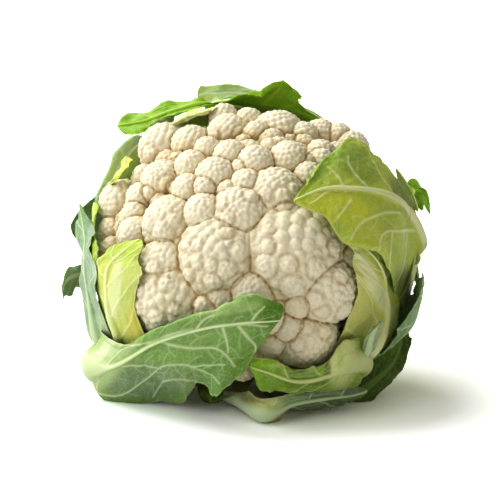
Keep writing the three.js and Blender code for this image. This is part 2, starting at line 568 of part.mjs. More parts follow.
// A leaf as a closed solid, grown all round by a gap where it is to cut its neighbours
function leafGeometry(leaf, seed, grow) {
  const rows = leafRows(leaf, seed, grow);
  stretchRow(rows[0], rows[1], grow);
  stretchRow(rows[rows.length - 1], rows[rows.length - 2], grow);
  for (const row of rows) {
    for (const cell of row) {
      const offset = cell.point.clone().sub(MIDDLE);
      const level = domeUnits(offset, leaf.lift).length();
      if (level < 1) cell.point.copy(MIDDLE).addScaledVector(offset, 1 / level);
    }
  }
  const { normals, flip } = normalsOf(rows);
  const positions = [];
  for (const layer of [0, 1]) {
    rows.forEach((row, i) => row.forEach((cell, j) => {
      const stand = cell.wave + (layer ? cell.height + grow : -grow);
      const point = cell.point.clone().addScaledVector(normals[i][j], flip * stand);
      point.z = Math.max(point.z, layer ? 0 : BLADE);
      positions.push(point.x, point.y, point.z);
    }));
  }
  const wide = rows[0].length;
  const layerSize = rows.length * wide;
  const faces = [];
  const face3 = (a, b, c) => (flip > 0 ? faces.push(a, b, c) : faces.push(a, c, b));
  for (let i = 0; i < rows.length - 1; i += 1) {
    for (let j = 0; j < wide - 1; j += 1) {
      const a = i * wide + j;
      const b = a + wide;
      const top = layerSize;
      face3(a, a + 1, b);
      face3(a + 1, b + 1, b);
      face3(top + a, top + b, top + a + 1);
      face3(top + a + 1, top + b, top + b + 1);
    }
  }
  const rim = [];
  for (let j = 0; j < wide - 1; j += 1) rim.push([j, j + 1]);
  for (let i = 0; i < rows.length - 1; i += 1) rim.push([i * wide + wide - 1, (i + 1) * wide + wide - 1]);
  for (let j = wide - 1; j > 0; j -= 1) rim.push([layerSize - wide + j, layerSize - wide + j - 1]);
  for (let i = rows.length - 1; i > 0; i -= 1) rim.push([i * wide, (i - 1) * wide]);
  for (const [a, b] of rim) {
    face3(a, layerSize + a, b);
    face3(b, layerSize + a, layerSize + b);
  }
  const geometry = new THREE.BufferGeometry();
  geometry.setAttribute('position', new THREE.Float32BufferAttribute(positions, 3));
  geometry.setIndex(faces);
  return geometry;
}

function stalkGeometry() {
  const profile = [
    [0, STALK_TOP],
    [STALK_RADIUS + STALK_FLARE, STALK_TOP],
    [STALK_RADIUS + STALK_FLARE, STALK_TOP + STALK_FLARE_LENGTH],
    [STALK_RADIUS, STALK_END - STALK_STRAIGHT],
    [STALK_RADIUS, STALK_END - STALK_CHAMFER],
    [STALK_RADIUS - STALK_CHAMFER, STALK_END],
    [0, STALK_END],
  ];
  const lathe = new THREE.LatheGeometry(profile.map(([x, y]) => new THREE.Vector2(x, y)), 36);
  lathe.deleteAttribute('normal');
  lathe.deleteAttribute('uv');
  const geometry = mergeVertices(lathe, 1e-4);
  const turn = new THREE.Quaternion().setFromUnitVectors(new THREE.Vector3(0, 1, 0), CROWN.clone().negate());
  geometry.applyQuaternion(turn).translate(MIDDLE.x, MIDDLE.y, MIDDLE.z);
  const place = geometry.getAttribute('position');
  for (let i = 0; i < place.count; i += 1) place.setZ(i, Math.max(place.getZ(i), 0));
  return geometry;
}

function toSolid(geometry) {
  const vertProperties = new Float32Array(geometry.getAttribute('position').array);
  const triVerts = new Uint32Array(geometry.getIndex().array);
  return new wasm.Manifold(new wasm.Mesh({ numProp: 3, vertProperties, triVerts }));
}

function toGeometry(solid) {
  const mesh = solid.getMesh();
  const geometry = new THREE.BufferGeometry();
  geometry.setAttribute('position', new THREE.Float32BufferAttribute(mesh.vertProperties, 3));
  geometry.setIndex(Array.from(mesh.triVerts));
  return geometry;
}

function largestPiece(solid) {
  const pieces = solid.decompose();
  return pieces.reduce((best, piece) => (piece.volume() > best.volume() ? piece : best), pieces[0]);
}

const CURD_COLOUR = 0xf1e8d2;
const LEAF_COLOUR = 0x7fa548;
const STALK_COLOUR = 0xdfe3bd;

function addPiece(group, name, solid, colour) {
  const material = new THREE.MeshStandardMaterial({ color: colour, roughness: 0.6, metalness: 0 });
  const mesh = new THREE.Mesh(toGeometry(solid), material);
  mesh.name = name;
  group.add(mesh);
}

// What is left of a solid after its neighbours are cut away, where their boxes meet
function cutBy(solid, neighbours) {
  let left = solid;
  for (const neighbour of neighbours) {
    const box = left.boundingBox();
    const other = neighbour.boundingBox();
    const meet = [0, 1, 2].every((i) => box.min[i] < other.max[i] && other.min[i] < box.max[i]);
    if (meet) left = left.subtract(neighbour);
  }
  return largestPiece(left);
}

const head = new THREE.Group();
const florets = mainFlorets();
const lumps = LUMPS_IN_VIEW.map((lump) => lumpInView(lump, florets));
const balls = [...florets.flatMap((floret) => [floret, ...knobs(floret)]), ...lumps];
addPiece(head, 'curd', toSolid(curdGeometry(balls, CURD_DETAIL, 0)), CURD_COLOUR);

const placed = [toSolid(curdGeometry(balls, CURD_DETAIL, GAP))];
const stalk = cutBy(toSolid(stalkGeometry()), placed);
addPiece(head, 'stalk', stalk, STALK_COLOUR);
placed.push(stalk);

Object.entries(LEAVES).forEach(([name, leaf], index) => {
  const solid = cutBy(toSolid(leafGeometry(leaf, index, 0)), placed);
  addPiece(head, name, solid, LEAF_COLOUR);
  placed.push(toSolid(leafGeometry(leaf, index, GAP)), solid);
});

export default head;
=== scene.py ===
import math

import bpy
import numpy as np
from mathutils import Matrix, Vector


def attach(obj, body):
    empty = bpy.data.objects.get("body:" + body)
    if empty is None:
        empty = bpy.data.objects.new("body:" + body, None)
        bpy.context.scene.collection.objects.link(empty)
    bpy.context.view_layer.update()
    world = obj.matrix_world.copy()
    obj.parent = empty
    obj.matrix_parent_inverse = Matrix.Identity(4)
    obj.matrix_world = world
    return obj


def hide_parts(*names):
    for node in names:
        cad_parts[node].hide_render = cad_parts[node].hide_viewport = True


# A whole head of cauliflower, lying on a white surface with its crown leaning toward the viewer.
# Shapes are worked out in millimetres and written to the meshes in metres.
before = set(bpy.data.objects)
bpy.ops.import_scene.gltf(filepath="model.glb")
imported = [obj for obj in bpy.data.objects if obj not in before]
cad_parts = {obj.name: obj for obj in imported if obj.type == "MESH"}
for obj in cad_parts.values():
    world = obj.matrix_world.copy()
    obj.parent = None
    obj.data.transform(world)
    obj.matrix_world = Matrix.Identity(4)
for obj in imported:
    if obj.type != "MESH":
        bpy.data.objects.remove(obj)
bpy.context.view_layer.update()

MM = 0.001
GOLDEN_ANGLE = math.pi * (3 - math.sqrt(5))
UNIT_Z = np.array([0.0, 0.0, 1.0])

# The curd: a flattened dome, its mean surface and how far the florets stand out of it
CURD_RADIUS = 82
CURD_HALF_HEIGHT = 60
CURD_MIDDLE = (-4, 3, 0)
CROWN_AXIS = (-0.24, 0.62, 0.747)
CREVICE_DEPTH = 7
FLORET_STANDS_OUT = 3.5

# The stalk: a short cut stump on the curd's axis, the distances measured from the curd's middle
STALK_TOP = 56
STALK_END = 97.6
STALK_RADIUS = 21
STALK_FLARE = 3
STALK_FLARE_LENGTH = 8
STALK_STRAIGHT = 14
STALK_CHAMFER = 1.5

# Points in view are given as seen from the front: across and up on the plane through the
# middle, and how far they stand toward the viewer, who is one metre away and 12 degrees up
VIEW_DISTANCE = 1000
VIEW_LIFT = math.radians(12)
VIEW_MIDDLE = np.array([1.6, -2.1, 83.1])
RIGHT = np.array([1.0, 0.0, 0.0])
UP = np.array([0.0, math.sin(VIEW_LIFT), math.cos(VIEW_LIFT)])
TOWARD = np.array([0.0, -math.cos(VIEW_LIFT), math.sin(VIEW_LIFT)])
EYE = VIEW_MIDDLE + TOWARD * VIEW_DISTANCE

# The picture is 500 pixels wide, and one pixel on the plane through the middle is this wide
PICTURE_WIDTH = 500
PIXEL = 0.57
SENSOR_WIDTH = 36


def unit(vectors):
    return vectors / np.linalg.norm(vectors, axis=-1, keepdims=True)


def seen(across, up, toward):
    scale = (VIEW_DISTANCE - toward) / VIEW_DISTANCE
    return VIEW_MIDDLE + RIGHT * across * scale + UP * up * scale + TOWARD * toward


MIDDLE = seen(*CURD_MIDDLE)
CROWN = unit(CROWN_AXIS[0] * RIGHT + CROWN_AXIS[1] * UP + CROWN_AXIS[2] * TOWARD)
BACK = unit(UNIT_Z - CROWN * CROWN[2])
SIDE = np.cross(BACK, CROWN)


def dome_units(offsets, lift):
    """Vectors from the curd's middle in units of the dome's surface, lifted by some millimetres"""
    along = (offsets @ CROWN)[..., None] * CROWN
    return (offsets - along) / (CURD_RADIUS + lift) + along / (CURD_HALF_HEIGHT + lift)


def dome_reach(rays, lift):
    return 1 / np.linalg.norm(dome_units(rays, lift), axis=-1)


def face(across, up, lift):
    """A point on the side of the lifted dome that faces the viewer"""
    ray = unit(seen(across, up, 0) - EYE)
    start = dome_units(EYE - MIDDLE, lift)
    run = dome_units(ray, lift)
    a = run @ run
    b = start @ run
    hit = max(b * b - a * (start @ start - 1), 0)
    return EYE + ray * (-b - math.sqrt(hit)) / a


def direction(turn, lean):
    turn, lean = math.radians(turn), math.radians(lean)
    flat = BACK * math.cos(turn) + SIDE * math.sin(turn)
    return flat * math.sin(lean) + CROWN * math.cos(lean)


def around(turn, lean, lift):
    """A point round the dome: turned about the crown's axis from the back, leaning away from it"""
    ray = direction(turn, lean)
    return MIDDLE + ray * dome_reach(ray, lift)


def stem(turn, down, out):
    """A point beside the stalk: how far down from the curd's middle and out from the axis"""
    return MIDDLE - CROWN * down + direction(turn, 90) * out


def smooth_step(values, low, high):
    share = np.clip((values - low) / (high - low), 0, 1)
    return share * share * (3 - 2 * share)


def blend(a, b, share):
    """Colours or numbers mixed by a share for each vertex"""
    share = np.asarray(share)[..., None] if np.ndim(a) or np.ndim(b) else share
    return a * (1 - share) + b * share


def linear(red, green, blue):
    """A colour on a screen's 0 to 255 scale as linear light"""
    shares = np.array([red, green, blue]) / 255
    return np.where(shares <= 0.04045, shares / 12.92, ((shares + 0.055) / 1.055) ** 2.4)


def add_mesh(name, points, quads, colours=None, numbers=None):
    """A smooth mesh from points in millimetres, with a colour and numbers for each vertex"""
    mesh = bpy.data.meshes.new(name)
    mesh.vertices.add(len(points))
    mesh.vertices.foreach_set("co", (np.asarray(points) * MM).ravel())
    mesh.loops.add(quads.size)
    mesh.loops.foreach_set("vertex_index", quads.ravel())
    mesh.polygons.add(len(quads))
    mesh.polygons.foreach_set("loop_start", np.arange(0, quads.size, 4))
    mesh.polygons.foreach_set("use_smooth", np.ones(len(quads), dtype=bool))
    mesh.update(calc_edges=True)
    mesh.validate()
    if colours is not None:
        layer = mesh.attributes.new("tone", "FLOAT_COLOR", "POINT")
        layer.data.foreach_set("color", np.column_stack([colours, np.ones(len(points))]).ravel())
    for key, values in (numbers or {}).items():
        layer = mesh.attributes.new(key, "FLOAT", "POINT")
        layer.data.foreach_set("value", np.asarray(values, dtype=np.float32))
    piece = bpy.data.objects.new(name, mesh)
    bpy.context.scene.collection.objects.link(piece)
    return piece


def keep(piece, node, material):
    """Puts a piece in its node's place"""
    piece.data.materials.append(material)
    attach(piece, "root")
    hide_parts(node)


# Main florets in view, as seen from the front: across, up, radius and how far they stand out
FLORETS_IN_VIEW = [
    (-15, -6, 27.5, 5), (20, -5, 33.5, 5.5), (-5, 18, 18, 5), (14, 29, 17, 5), (3, 48, 11, 4.5),
    (22, 50, 11.5, 4.5), (16, 64, 15.5, 5), (30, 64, 9, 3), (4, 66, 7.5, 1.5), (-2, 36, 9.5, 3.5),
    (-12, 33, 7, 1), (11, 18, 7, -1), (-1, 11, 7, -1), (19, 21, 7.5, 1.5), (11, 58, 5.5, 0.5),
    (-19, 40, 12.5, 4.5), (-25, 35, 7.5, 3), (-11, 53, 9.5, 4.5), (-12, 65, 12.5, 4.5),
    (-15, 75, 8.5, 2), (-1, 72, 9, 2), (-33, 59, 12, 4.5), (-24, 57, 7.5, 3.5), (-33, 47, 9.5, 4),
    (-35, 34, 9, 3.5), (-26, 20, 11.5, 4.5), (-5, 46, 6, 1.5), (-48, 57, 15.5, 5), (-49, 38, 13, 4.5),
    (-60, 41, 7.5, 2), (-72, 26, 14, 4.5), (-61, 29, 9.5, 3.5), (-65, 20, 7.5, 3), (-76, 10, 10.5, 3.5),
    (-64, 9, 10.5, 3.5), (-77, -1, 9, 2), (-68, -1, 7, 1.5), (-43, 13, 17.5, 5), (-39, 3, 5.5, -2),
    (-56, 32, 6, 1), (-46, -8, 15.5, 4), (-40, -26, 26, 5.5), (-23, -33, 9, 1), (-15, -27, 10.5, 0),
    (1, -24, 13, 2.5), (40, -22, 20, 7), (31, -47, 18.5, 9), (20, -42, 9.5, 2), (26, -31, 8, 1.5),
    (12, -53, 7, 3), (-4, -65, 9, 2.5), (10, -38, 9.5, 3), (54, -6, 8.5, 0.5), (40, 53, 9.5, 3),
    (40, 64, 10.5, 2), (57, 57, 11, 2.5), (49, 54, 7.5, 2), (33, 41, 9, 3.5), (41, 49, 8.5, 3.5),
    (37, 36, 9, 2.5), (32, 49, 5.5, 1), (50, 64, 8.5, 0.5),
]

# Lumps that show on them, as seen from the front: across, up and radius
LUMPS_IN_VIEW = [
    (-36, 3, 5.5), (-36, -6, 5.5), (-30, -7, 6), (-22, -9, 6), (-13, -12, 8), (-21, -18, 7.5),
    (-8, -18, 7.5), (-6, -1, 7.5), (-13, 10, 5.5), (-34, 12, 5.5), (-30, 3, 5.5), (11, 13, 6.5),
    (10, 2, 6.5), (9, -9, 9.5), (22, -8, 7.5), (38, -10, 8.5), (24, -21, 9.5), (14, -19, 4.5),
    (5, 0, 4), (5, -9, 4), (48, 1, 7.5), (46, -7, 5.5), (-50, 10, 8.5), (-57, 14, 6), (-44, 17, 6),
    (-55, -12, 7.5), (-46, -13, 6.5), (-48, -19, 6.5), (-63, -23, 6.5), (-64, -33, 7.5), (-53, -39, 8),
    (-35, -14, 6.5), (-28, -30, 6), (37, -29, 7.5), (41, -35, 6.5), (54, -35, 8), (50, -42, 5.5),
    (52, -14, 6.5), (32, -43, 6.5), (27, -54, 6), (43, -46, 6), (9, 32, 5.5), (19, 31, 6.5),
    (25, 35, 5.5), (-13, 18, 6), (-16, 26, 5.5), (1, 31, 6), (-57, 54, 7.5), (-44, 51, 6),
    (-47, 37, 6.5), (-21, 66, 6), (-5, 66, 6), (-43, -34, 5.5),
]
LUMP_STANDS_OUT = 0.24

# Florets that fill the rest of the dome: large ones on the unseen sides, then small ones between
FLORETS_BY_RULE = [
    {"count": 150, "radius": 13, "apart": (0.83, 0.8), "stands_out": 4},
    {"count": 420, "radius": 8.5, "apart": (0.84, 0.45), "stands_out": -1},
    {"count": 900, "radius": 6, "apart": (0.84, 0.3), "stands_out": -3},
]
FLORETS_LEAN_TO = 118
SIZE_SPREAD = 0.2
SIZE_STEP = 2.3

# Lobes on a floret and beads on a lobe: their radius as a share of what they sit on, how much of
# it stands out, how closely they sit, how far from the tip they go in radians, and how deep one
# may lie in the next floret. Those that point this far inward are left out
LOBES = {"at_tip": 0.1, "at_foot": 0.21, "smallest": 1.9, "stands_out": 0.38, "spacing": 2.3,
         "first_lean": 0.1, "last_lean": 1.75, "jitter": 0.22, "burial": 1.2}
BEADS = {"at_tip": 0.4, "at_foot": 0.4, "smallest": 0.95, "stands_out": 0.1, "spacing": 2.2,
         "first_lean": 0.15, "last_lean": 1.25, "jitter": 0.14, "burial": 0.4}
INWARD_LIMIT = -0.4

# The grid that the curd's skin is found on: its cell and how far it reaches past the dome
CURD_CELL = 0.58
CURD_ROOM = 12

# The groove where two florets meet, and its depth where two lumps meet as a share of that. This
# many points are looked at together
EDGE_WIDTH = 1.1
EDGE_DEPTH = 0.7
LUMP_EDGE_SHARE = 0.7
PART_SIZE = 40000

# The curd's colours: its own cream and yellow, and painted shade that darkens and browns it in its valleys,
# the seams between its lobes and the crevices between its florets
CREAM = linear(236, 229, 207)
VALLEY_SHADE_CREAM = linear(224, 210, 174)
LOBE_CREVICE_SHADE = linear(206, 180, 128)
FLORET_CREVICE_SHADE = linear(166, 132, 66)
CURD_YELLOW = linear(216, 200, 112)

# Where the curd's colours begin and are full: the painted shade in the hollows found with few and with many
# rounds of smoothing and by the depth under the dome's surface, and the yellow by the lean from the crown
SEAM_ROUNDS, SEAM_HOLLOW = 6, (0.1, 0.5)
GROOVE_ROUNDS, GROOVE_HOLLOW = 40, (0.8, 2.1)
SHADED_VALLEY = (0.2, 0.9)
DEEP_VALLEY = (0.7, 1.5)
YELLOW_LEAN = (85, 115)


def main_florets():
    """The florets' middles, measured from the curd's middle, and their radii"""
    middles = [face(across, up, lift - radius) - MIDDLE for across, up, radius, lift in FLORETS_IN_VIEW]
    radii = [radius for _, _, radius, _ in FLORETS_IN_VIEW]
    spread = 1 - math.cos(math.radians(FLORETS_LEAN_TO))
    for rule in FLORETS_BY_RULE:
        for i in range(rule["count"]):
            lean = math.degrees(math.acos(1 - spread * (i + 0.5) / rule["count"]))
            size = rule["radius"] * (1 + SIZE_SPREAD * math.sin(i * SIZE_STEP))
            middle = around(math.degrees(i * GOLDEN_ANGLE), lean, rule["stands_out"] - size) - MIDDLE
            gaps = np.linalg.norm(np.array(middles) - middle, axis=1)
            if np.all(gaps > rule["apart"][0] * np.array(radii) + rule["apart"][1] * size):
                middles.append(middle)
                radii.append(size)
    return np.array(middles), np.array(radii)


def lumps_in_view(middles, radii):
    """Balls sunk into the florets where their outlines are seen"""
    found = []
    for across, up, radius in LUMPS_IN_VIEW:
        ray = unit(seen(across, up, 0) - EYE)
        start = MIDDLE + middles - EYE
        near = start @ ray
        inside = radii ** 2 - np.sum(start * start, axis=1) + near * near
        hits = np.where(inside > 0, near - np.sqrt(np.maximum(inside, 0)), np.inf)
        k = np.argmin(hits)
        out = unit(EYE + ray * hits[k] - MIDDLE - middles[k])
        found.append(middles[k] + out * (radii[k] - radius * (1 - LUMP_STANDS_OUT)))
    return np.array(found), np.array([radius for _, _, radius in LUMPS_IN_VIEW])


def spiral(radius, rule):
    """Leans, turns and sizes of the balls that cover one ball of this radius, from its tip out"""
    found = []
    lean = rule["first_lean"]
    while lean < rule["last_lean"]:
        share = lean / rule["last_lean"]
        size = max(radius * (rule["at_tip"] + (rule["at_foot"] - rule["at_tip"]) * share), rule["smallest"])
        found.append((lean, len(found) * GOLDEN_ANGLE, size))
        lean += rule["spacing"] * size * size / (2 * math.pi * radius * radius * math.sin(lean))
    return np.array(found).T


def cover(middle, radius, ray, rule, rng):
    """Balls on one ball: their middles, radii and outward rays"""
    lean, turn, size = spiral(radius, rule)
    count = len(lean)
    lean = lean + rng.normal(0, rule["jitter"], count) * size / radius
    turn = turn + rng.uniform(0, 2 * math.pi)
    size = size * (1 + rng.uniform(-1, 1, count) * rule["jitter"])
    across = unit(np.cross(UNIT_Z, ray))
    along = np.cross(ray, across)
    rays = (np.cos(lean)[:, None] * ray + (np.sin(lean) * np.cos(turn))[:, None] * across
            + (np.sin(lean) * np.sin(turn))[:, None] * along)
    reach = radius - size * (1 - rule["stands_out"])
    return middle + rays * reach[:, None], size, rays


def cover_all(middles, radii, rays, rule, rng):
    """Balls on many balls, without those buried under another of the balls they sit on"""
    found = []
    for k, (middle, radius, ray) in enumerate(zip(middles, radii, rays)):
        made, size, out = cover(middle, radius, ray, rule, rng)
        near = np.linalg.norm(middles - middle, axis=1) < radii + radius + rule["smallest"]
        near[k] = False
        gaps = np.linalg.norm((made + out * size[:, None])[:, None] - middles[near][None], axis=2)
        clear = np.all(gaps > radii[near] - rule["burial"], axis=1)
        outward = np.sum(out * unit(made), axis=1) > INWARD_LIMIT
        found.append((made[clear & outward], size[clear & outward], out[clear & outward]))
    return tuple(np.concatenate(part) for part in zip(*found))


class Curd:
    """How deep each point of a fine grid lies inside the curd, negative outside it"""

    def __init__(self):
        reach = CURD_RADIUS + CURD_ROOM
        self.lines = [np.arange(MIDDLE[k] - reach, MIDDLE[k] + reach, CURD_CELL) for k in range(3)]
        self.depth = np.empty([len(line) for line in self.lines], dtype=np.float32)
        _, y, z = np.meshgrid([0], self.lines[1] - MIDDLE[1], self.lines[2] - MIDDLE[2], indexing="ij")
        for i, x in enumerate(self.lines[0] - MIDDLE[0]):
            offsets = np.stack([np.full_like(y[0], x), y[0], z[0]], axis=-1)
            level = np.linalg.norm(dome_units(offsets, -CREVICE_DEPTH), axis=-1)
            self.depth[i] = (1 - level) * CURD_HALF_HEIGHT

    def press(self, middles, radii):
        """Adds balls, their middles measured from the curd's middle"""
        for middle, radius in zip(MIDDLE + middles, radii):
            reach = radius + CURD_CELL * 2
            squares = []
            window = []
            for line, place in zip(self.lines, middle):
                low, high = np.searchsorted(line, (place - reach, place + reach))
                window.append(slice(low, high))
                squares.append((line[low:high] - place) ** 2)
            x, y, z = squares
            gap = np.sqrt(x[:, None, None] + y[None, :, None] + z[None, None, :])
            part = self.depth[tuple(window)]
            np.maximum(part, radius - gap, out=part, casting="unsafe")

    def skin(self):
        """Points and quads where the depth is zero, one point to each cell that the skin crosses"""
        shape = np.array(self.depth.shape)
        steps = np.array([shape[1] * shape[2], shape[2], 1])
        inside = self.depth > 0
        cells, places, quads = [], [], []
        for axis in range(3):
            first = [slice(None)] * 3
            second = [slice(None)] * 3
            first[axis], second[axis] = slice(None, -1), slice(1, None)
            found = np.argwhere(inside[tuple(first)] != inside[tuple(second)])
            number = found @ steps
            here = self.depth.ravel()[number]
            beyond = self.depth.ravel()[number + steps[axis]]
            place = found.astype(float)
            place[:, axis] += here / (here - beyond)
            u, v = steps[(axis + 1) % 3], steps[(axis + 2) % 3]
            round_edge = number[:, None] - np.array([u + v, v, 0, u])
            leaves = here <= 0
            round_edge[leaves] = round_edge[leaves][:, ::-1]
            quads.append(round_edge)
            cells.append(round_edge.ravel())
            places.append(np.repeat(place, 4, axis=0))
        names, number = np.unique(np.concatenate(cells), return_inverse=True)
        places = np.concatenate(places)
        count = np.bincount(number)
        middle = [np.bincount(number, places[:, k]) / count for k in range(3)]
        points = np.stack([self.lines[k][0] + middle[k] * CURD_CELL for k in range(3)], axis=1)
        return points, number.reshape(-1, 4)


def smoothed(values, quads, rounds):
    """Values averaged with their neighbours along the quads' edges, some rounds over"""
    starts = quads.ravel()
    ends = np.roll(quads, -1, axis=1).ravel()
    count = len(values)
    weight = np.bincount(starts, minlength=count) + np.bincount(ends, minlength=count)
    for _ in range(rounds):
        total = np.empty_like(values)
        for k in range(values.shape[1]):
            total[:, k] = (np.bincount(starts, values[ends, k], count)
                           + np.bincount(ends, values[starts, k], count))
        values = 0.5 * values + 0.5 * total / weight[:, None]
    return values


def skin_normals(points, quads):
    """The outward direction at each point"""
    corners = points[quads]
    outward = np.cross(corners[:, 2] - corners[:, 0], corners[:, 3] - corners[:, 1])
    total = [np.bincount(quads.ravel(), np.repeat(outward[:, k], 4), len(points)) for k in range(3)]
    return unit(np.stack(total, axis=1))


def floret_edges(offsets, middles, radii):
    """How much deeper each point lies in its own floret than in the next one"""
    gaps = []
    for part in np.array_split(offsets, len(offsets) // PART_SIZE + 1):
        squares = np.sum(part ** 2, axis=1)[:, None] - 2 * part @ middles.T + np.sum(middles ** 2, axis=1)
        nearest = np.partition(np.sqrt(np.maximum(squares, 0)) - radii, 1, axis=1)
        gaps.append(nearest[:, 1] - nearest[:, 0])
    return np.concatenate(gaps)


def build_curd(rng, material):
    florets, floret_radii = main_florets()
    lumps, lump_radii = lumps_in_view(florets, floret_radii)
    middles, radii = np.concatenate([florets, lumps]), np.concatenate([floret_radii, lump_radii])
    lobes, lobe_radii, lobe_rays = cover_all(middles, radii, unit(middles), LOBES, rng)
    beads, bead_radii, _ = cover_all(lobes, lobe_radii, lobe_rays, BEADS, rng)
    curd = Curd()
    curd.press(middles, radii)
    curd.press(lobes, lobe_radii)
    curd.press(beads, bead_radii)
    points, quads = curd.skin()
    normals = skin_normals(points, quads)
    edge = smooth_step(floret_edges(points - MIDDLE, florets, floret_radii), EDGE_WIDTH, 0)
    lump_edge = smooth_step(floret_edges(points - MIDDLE, middles, radii), EDGE_WIDTH, 0)
    points = points - normals * (EDGE_DEPTH * np.maximum(edge, LUMP_EDGE_SHARE * lump_edge))[:, None]
    offsets = points - MIDDLE
    rays = unit(offsets)
    lean = np.degrees(np.arccos(np.clip(rays @ CROWN, -1, 1)))
    valley = (dome_reach(rays, FLORET_STANDS_OUT) - np.linalg.norm(offsets, axis=1)) / CREVICE_DEPTH
    seam, groove = (smooth_step(np.sum((smoothed(points, quads, rounds) - points) * normals, axis=1), *hollow)
                    for rounds, hollow in ((SEAM_ROUNDS, SEAM_HOLLOW), (GROOVE_ROUNDS, GROOVE_HOLLOW)))
    depth = smooth_step(valley, *DEEP_VALLEY)
    colour = np.tile(CREAM, (len(points), 1))
    # Painted shade: the cream darkens and browns in the valleys, the seams between lobes, the crevices
    # between florets and the grooves where florets and lumps meet
    colour = blend(colour, VALLEY_SHADE_CREAM, 0.5 * smooth_step(valley, *SHADED_VALLEY))
    colour = blend(colour, LOBE_CREVICE_SHADE, 0.65 * seam)
    colour = blend(colour, FLORET_CREVICE_SHADE, 0.75 * np.maximum(groove, depth * 0.7))
    colour = blend(colour, FLORET_CREVICE_SHADE, np.maximum(0.42 * edge, 0.22 * lump_edge))
    colour = blend(colour, CURD_YELLOW, 0.35 * smooth_step(lean, *YELLOW_LEAN))
    piece = add_mesh("curd_florets", points, quads, colour)
    keep(piece, "curd", material)


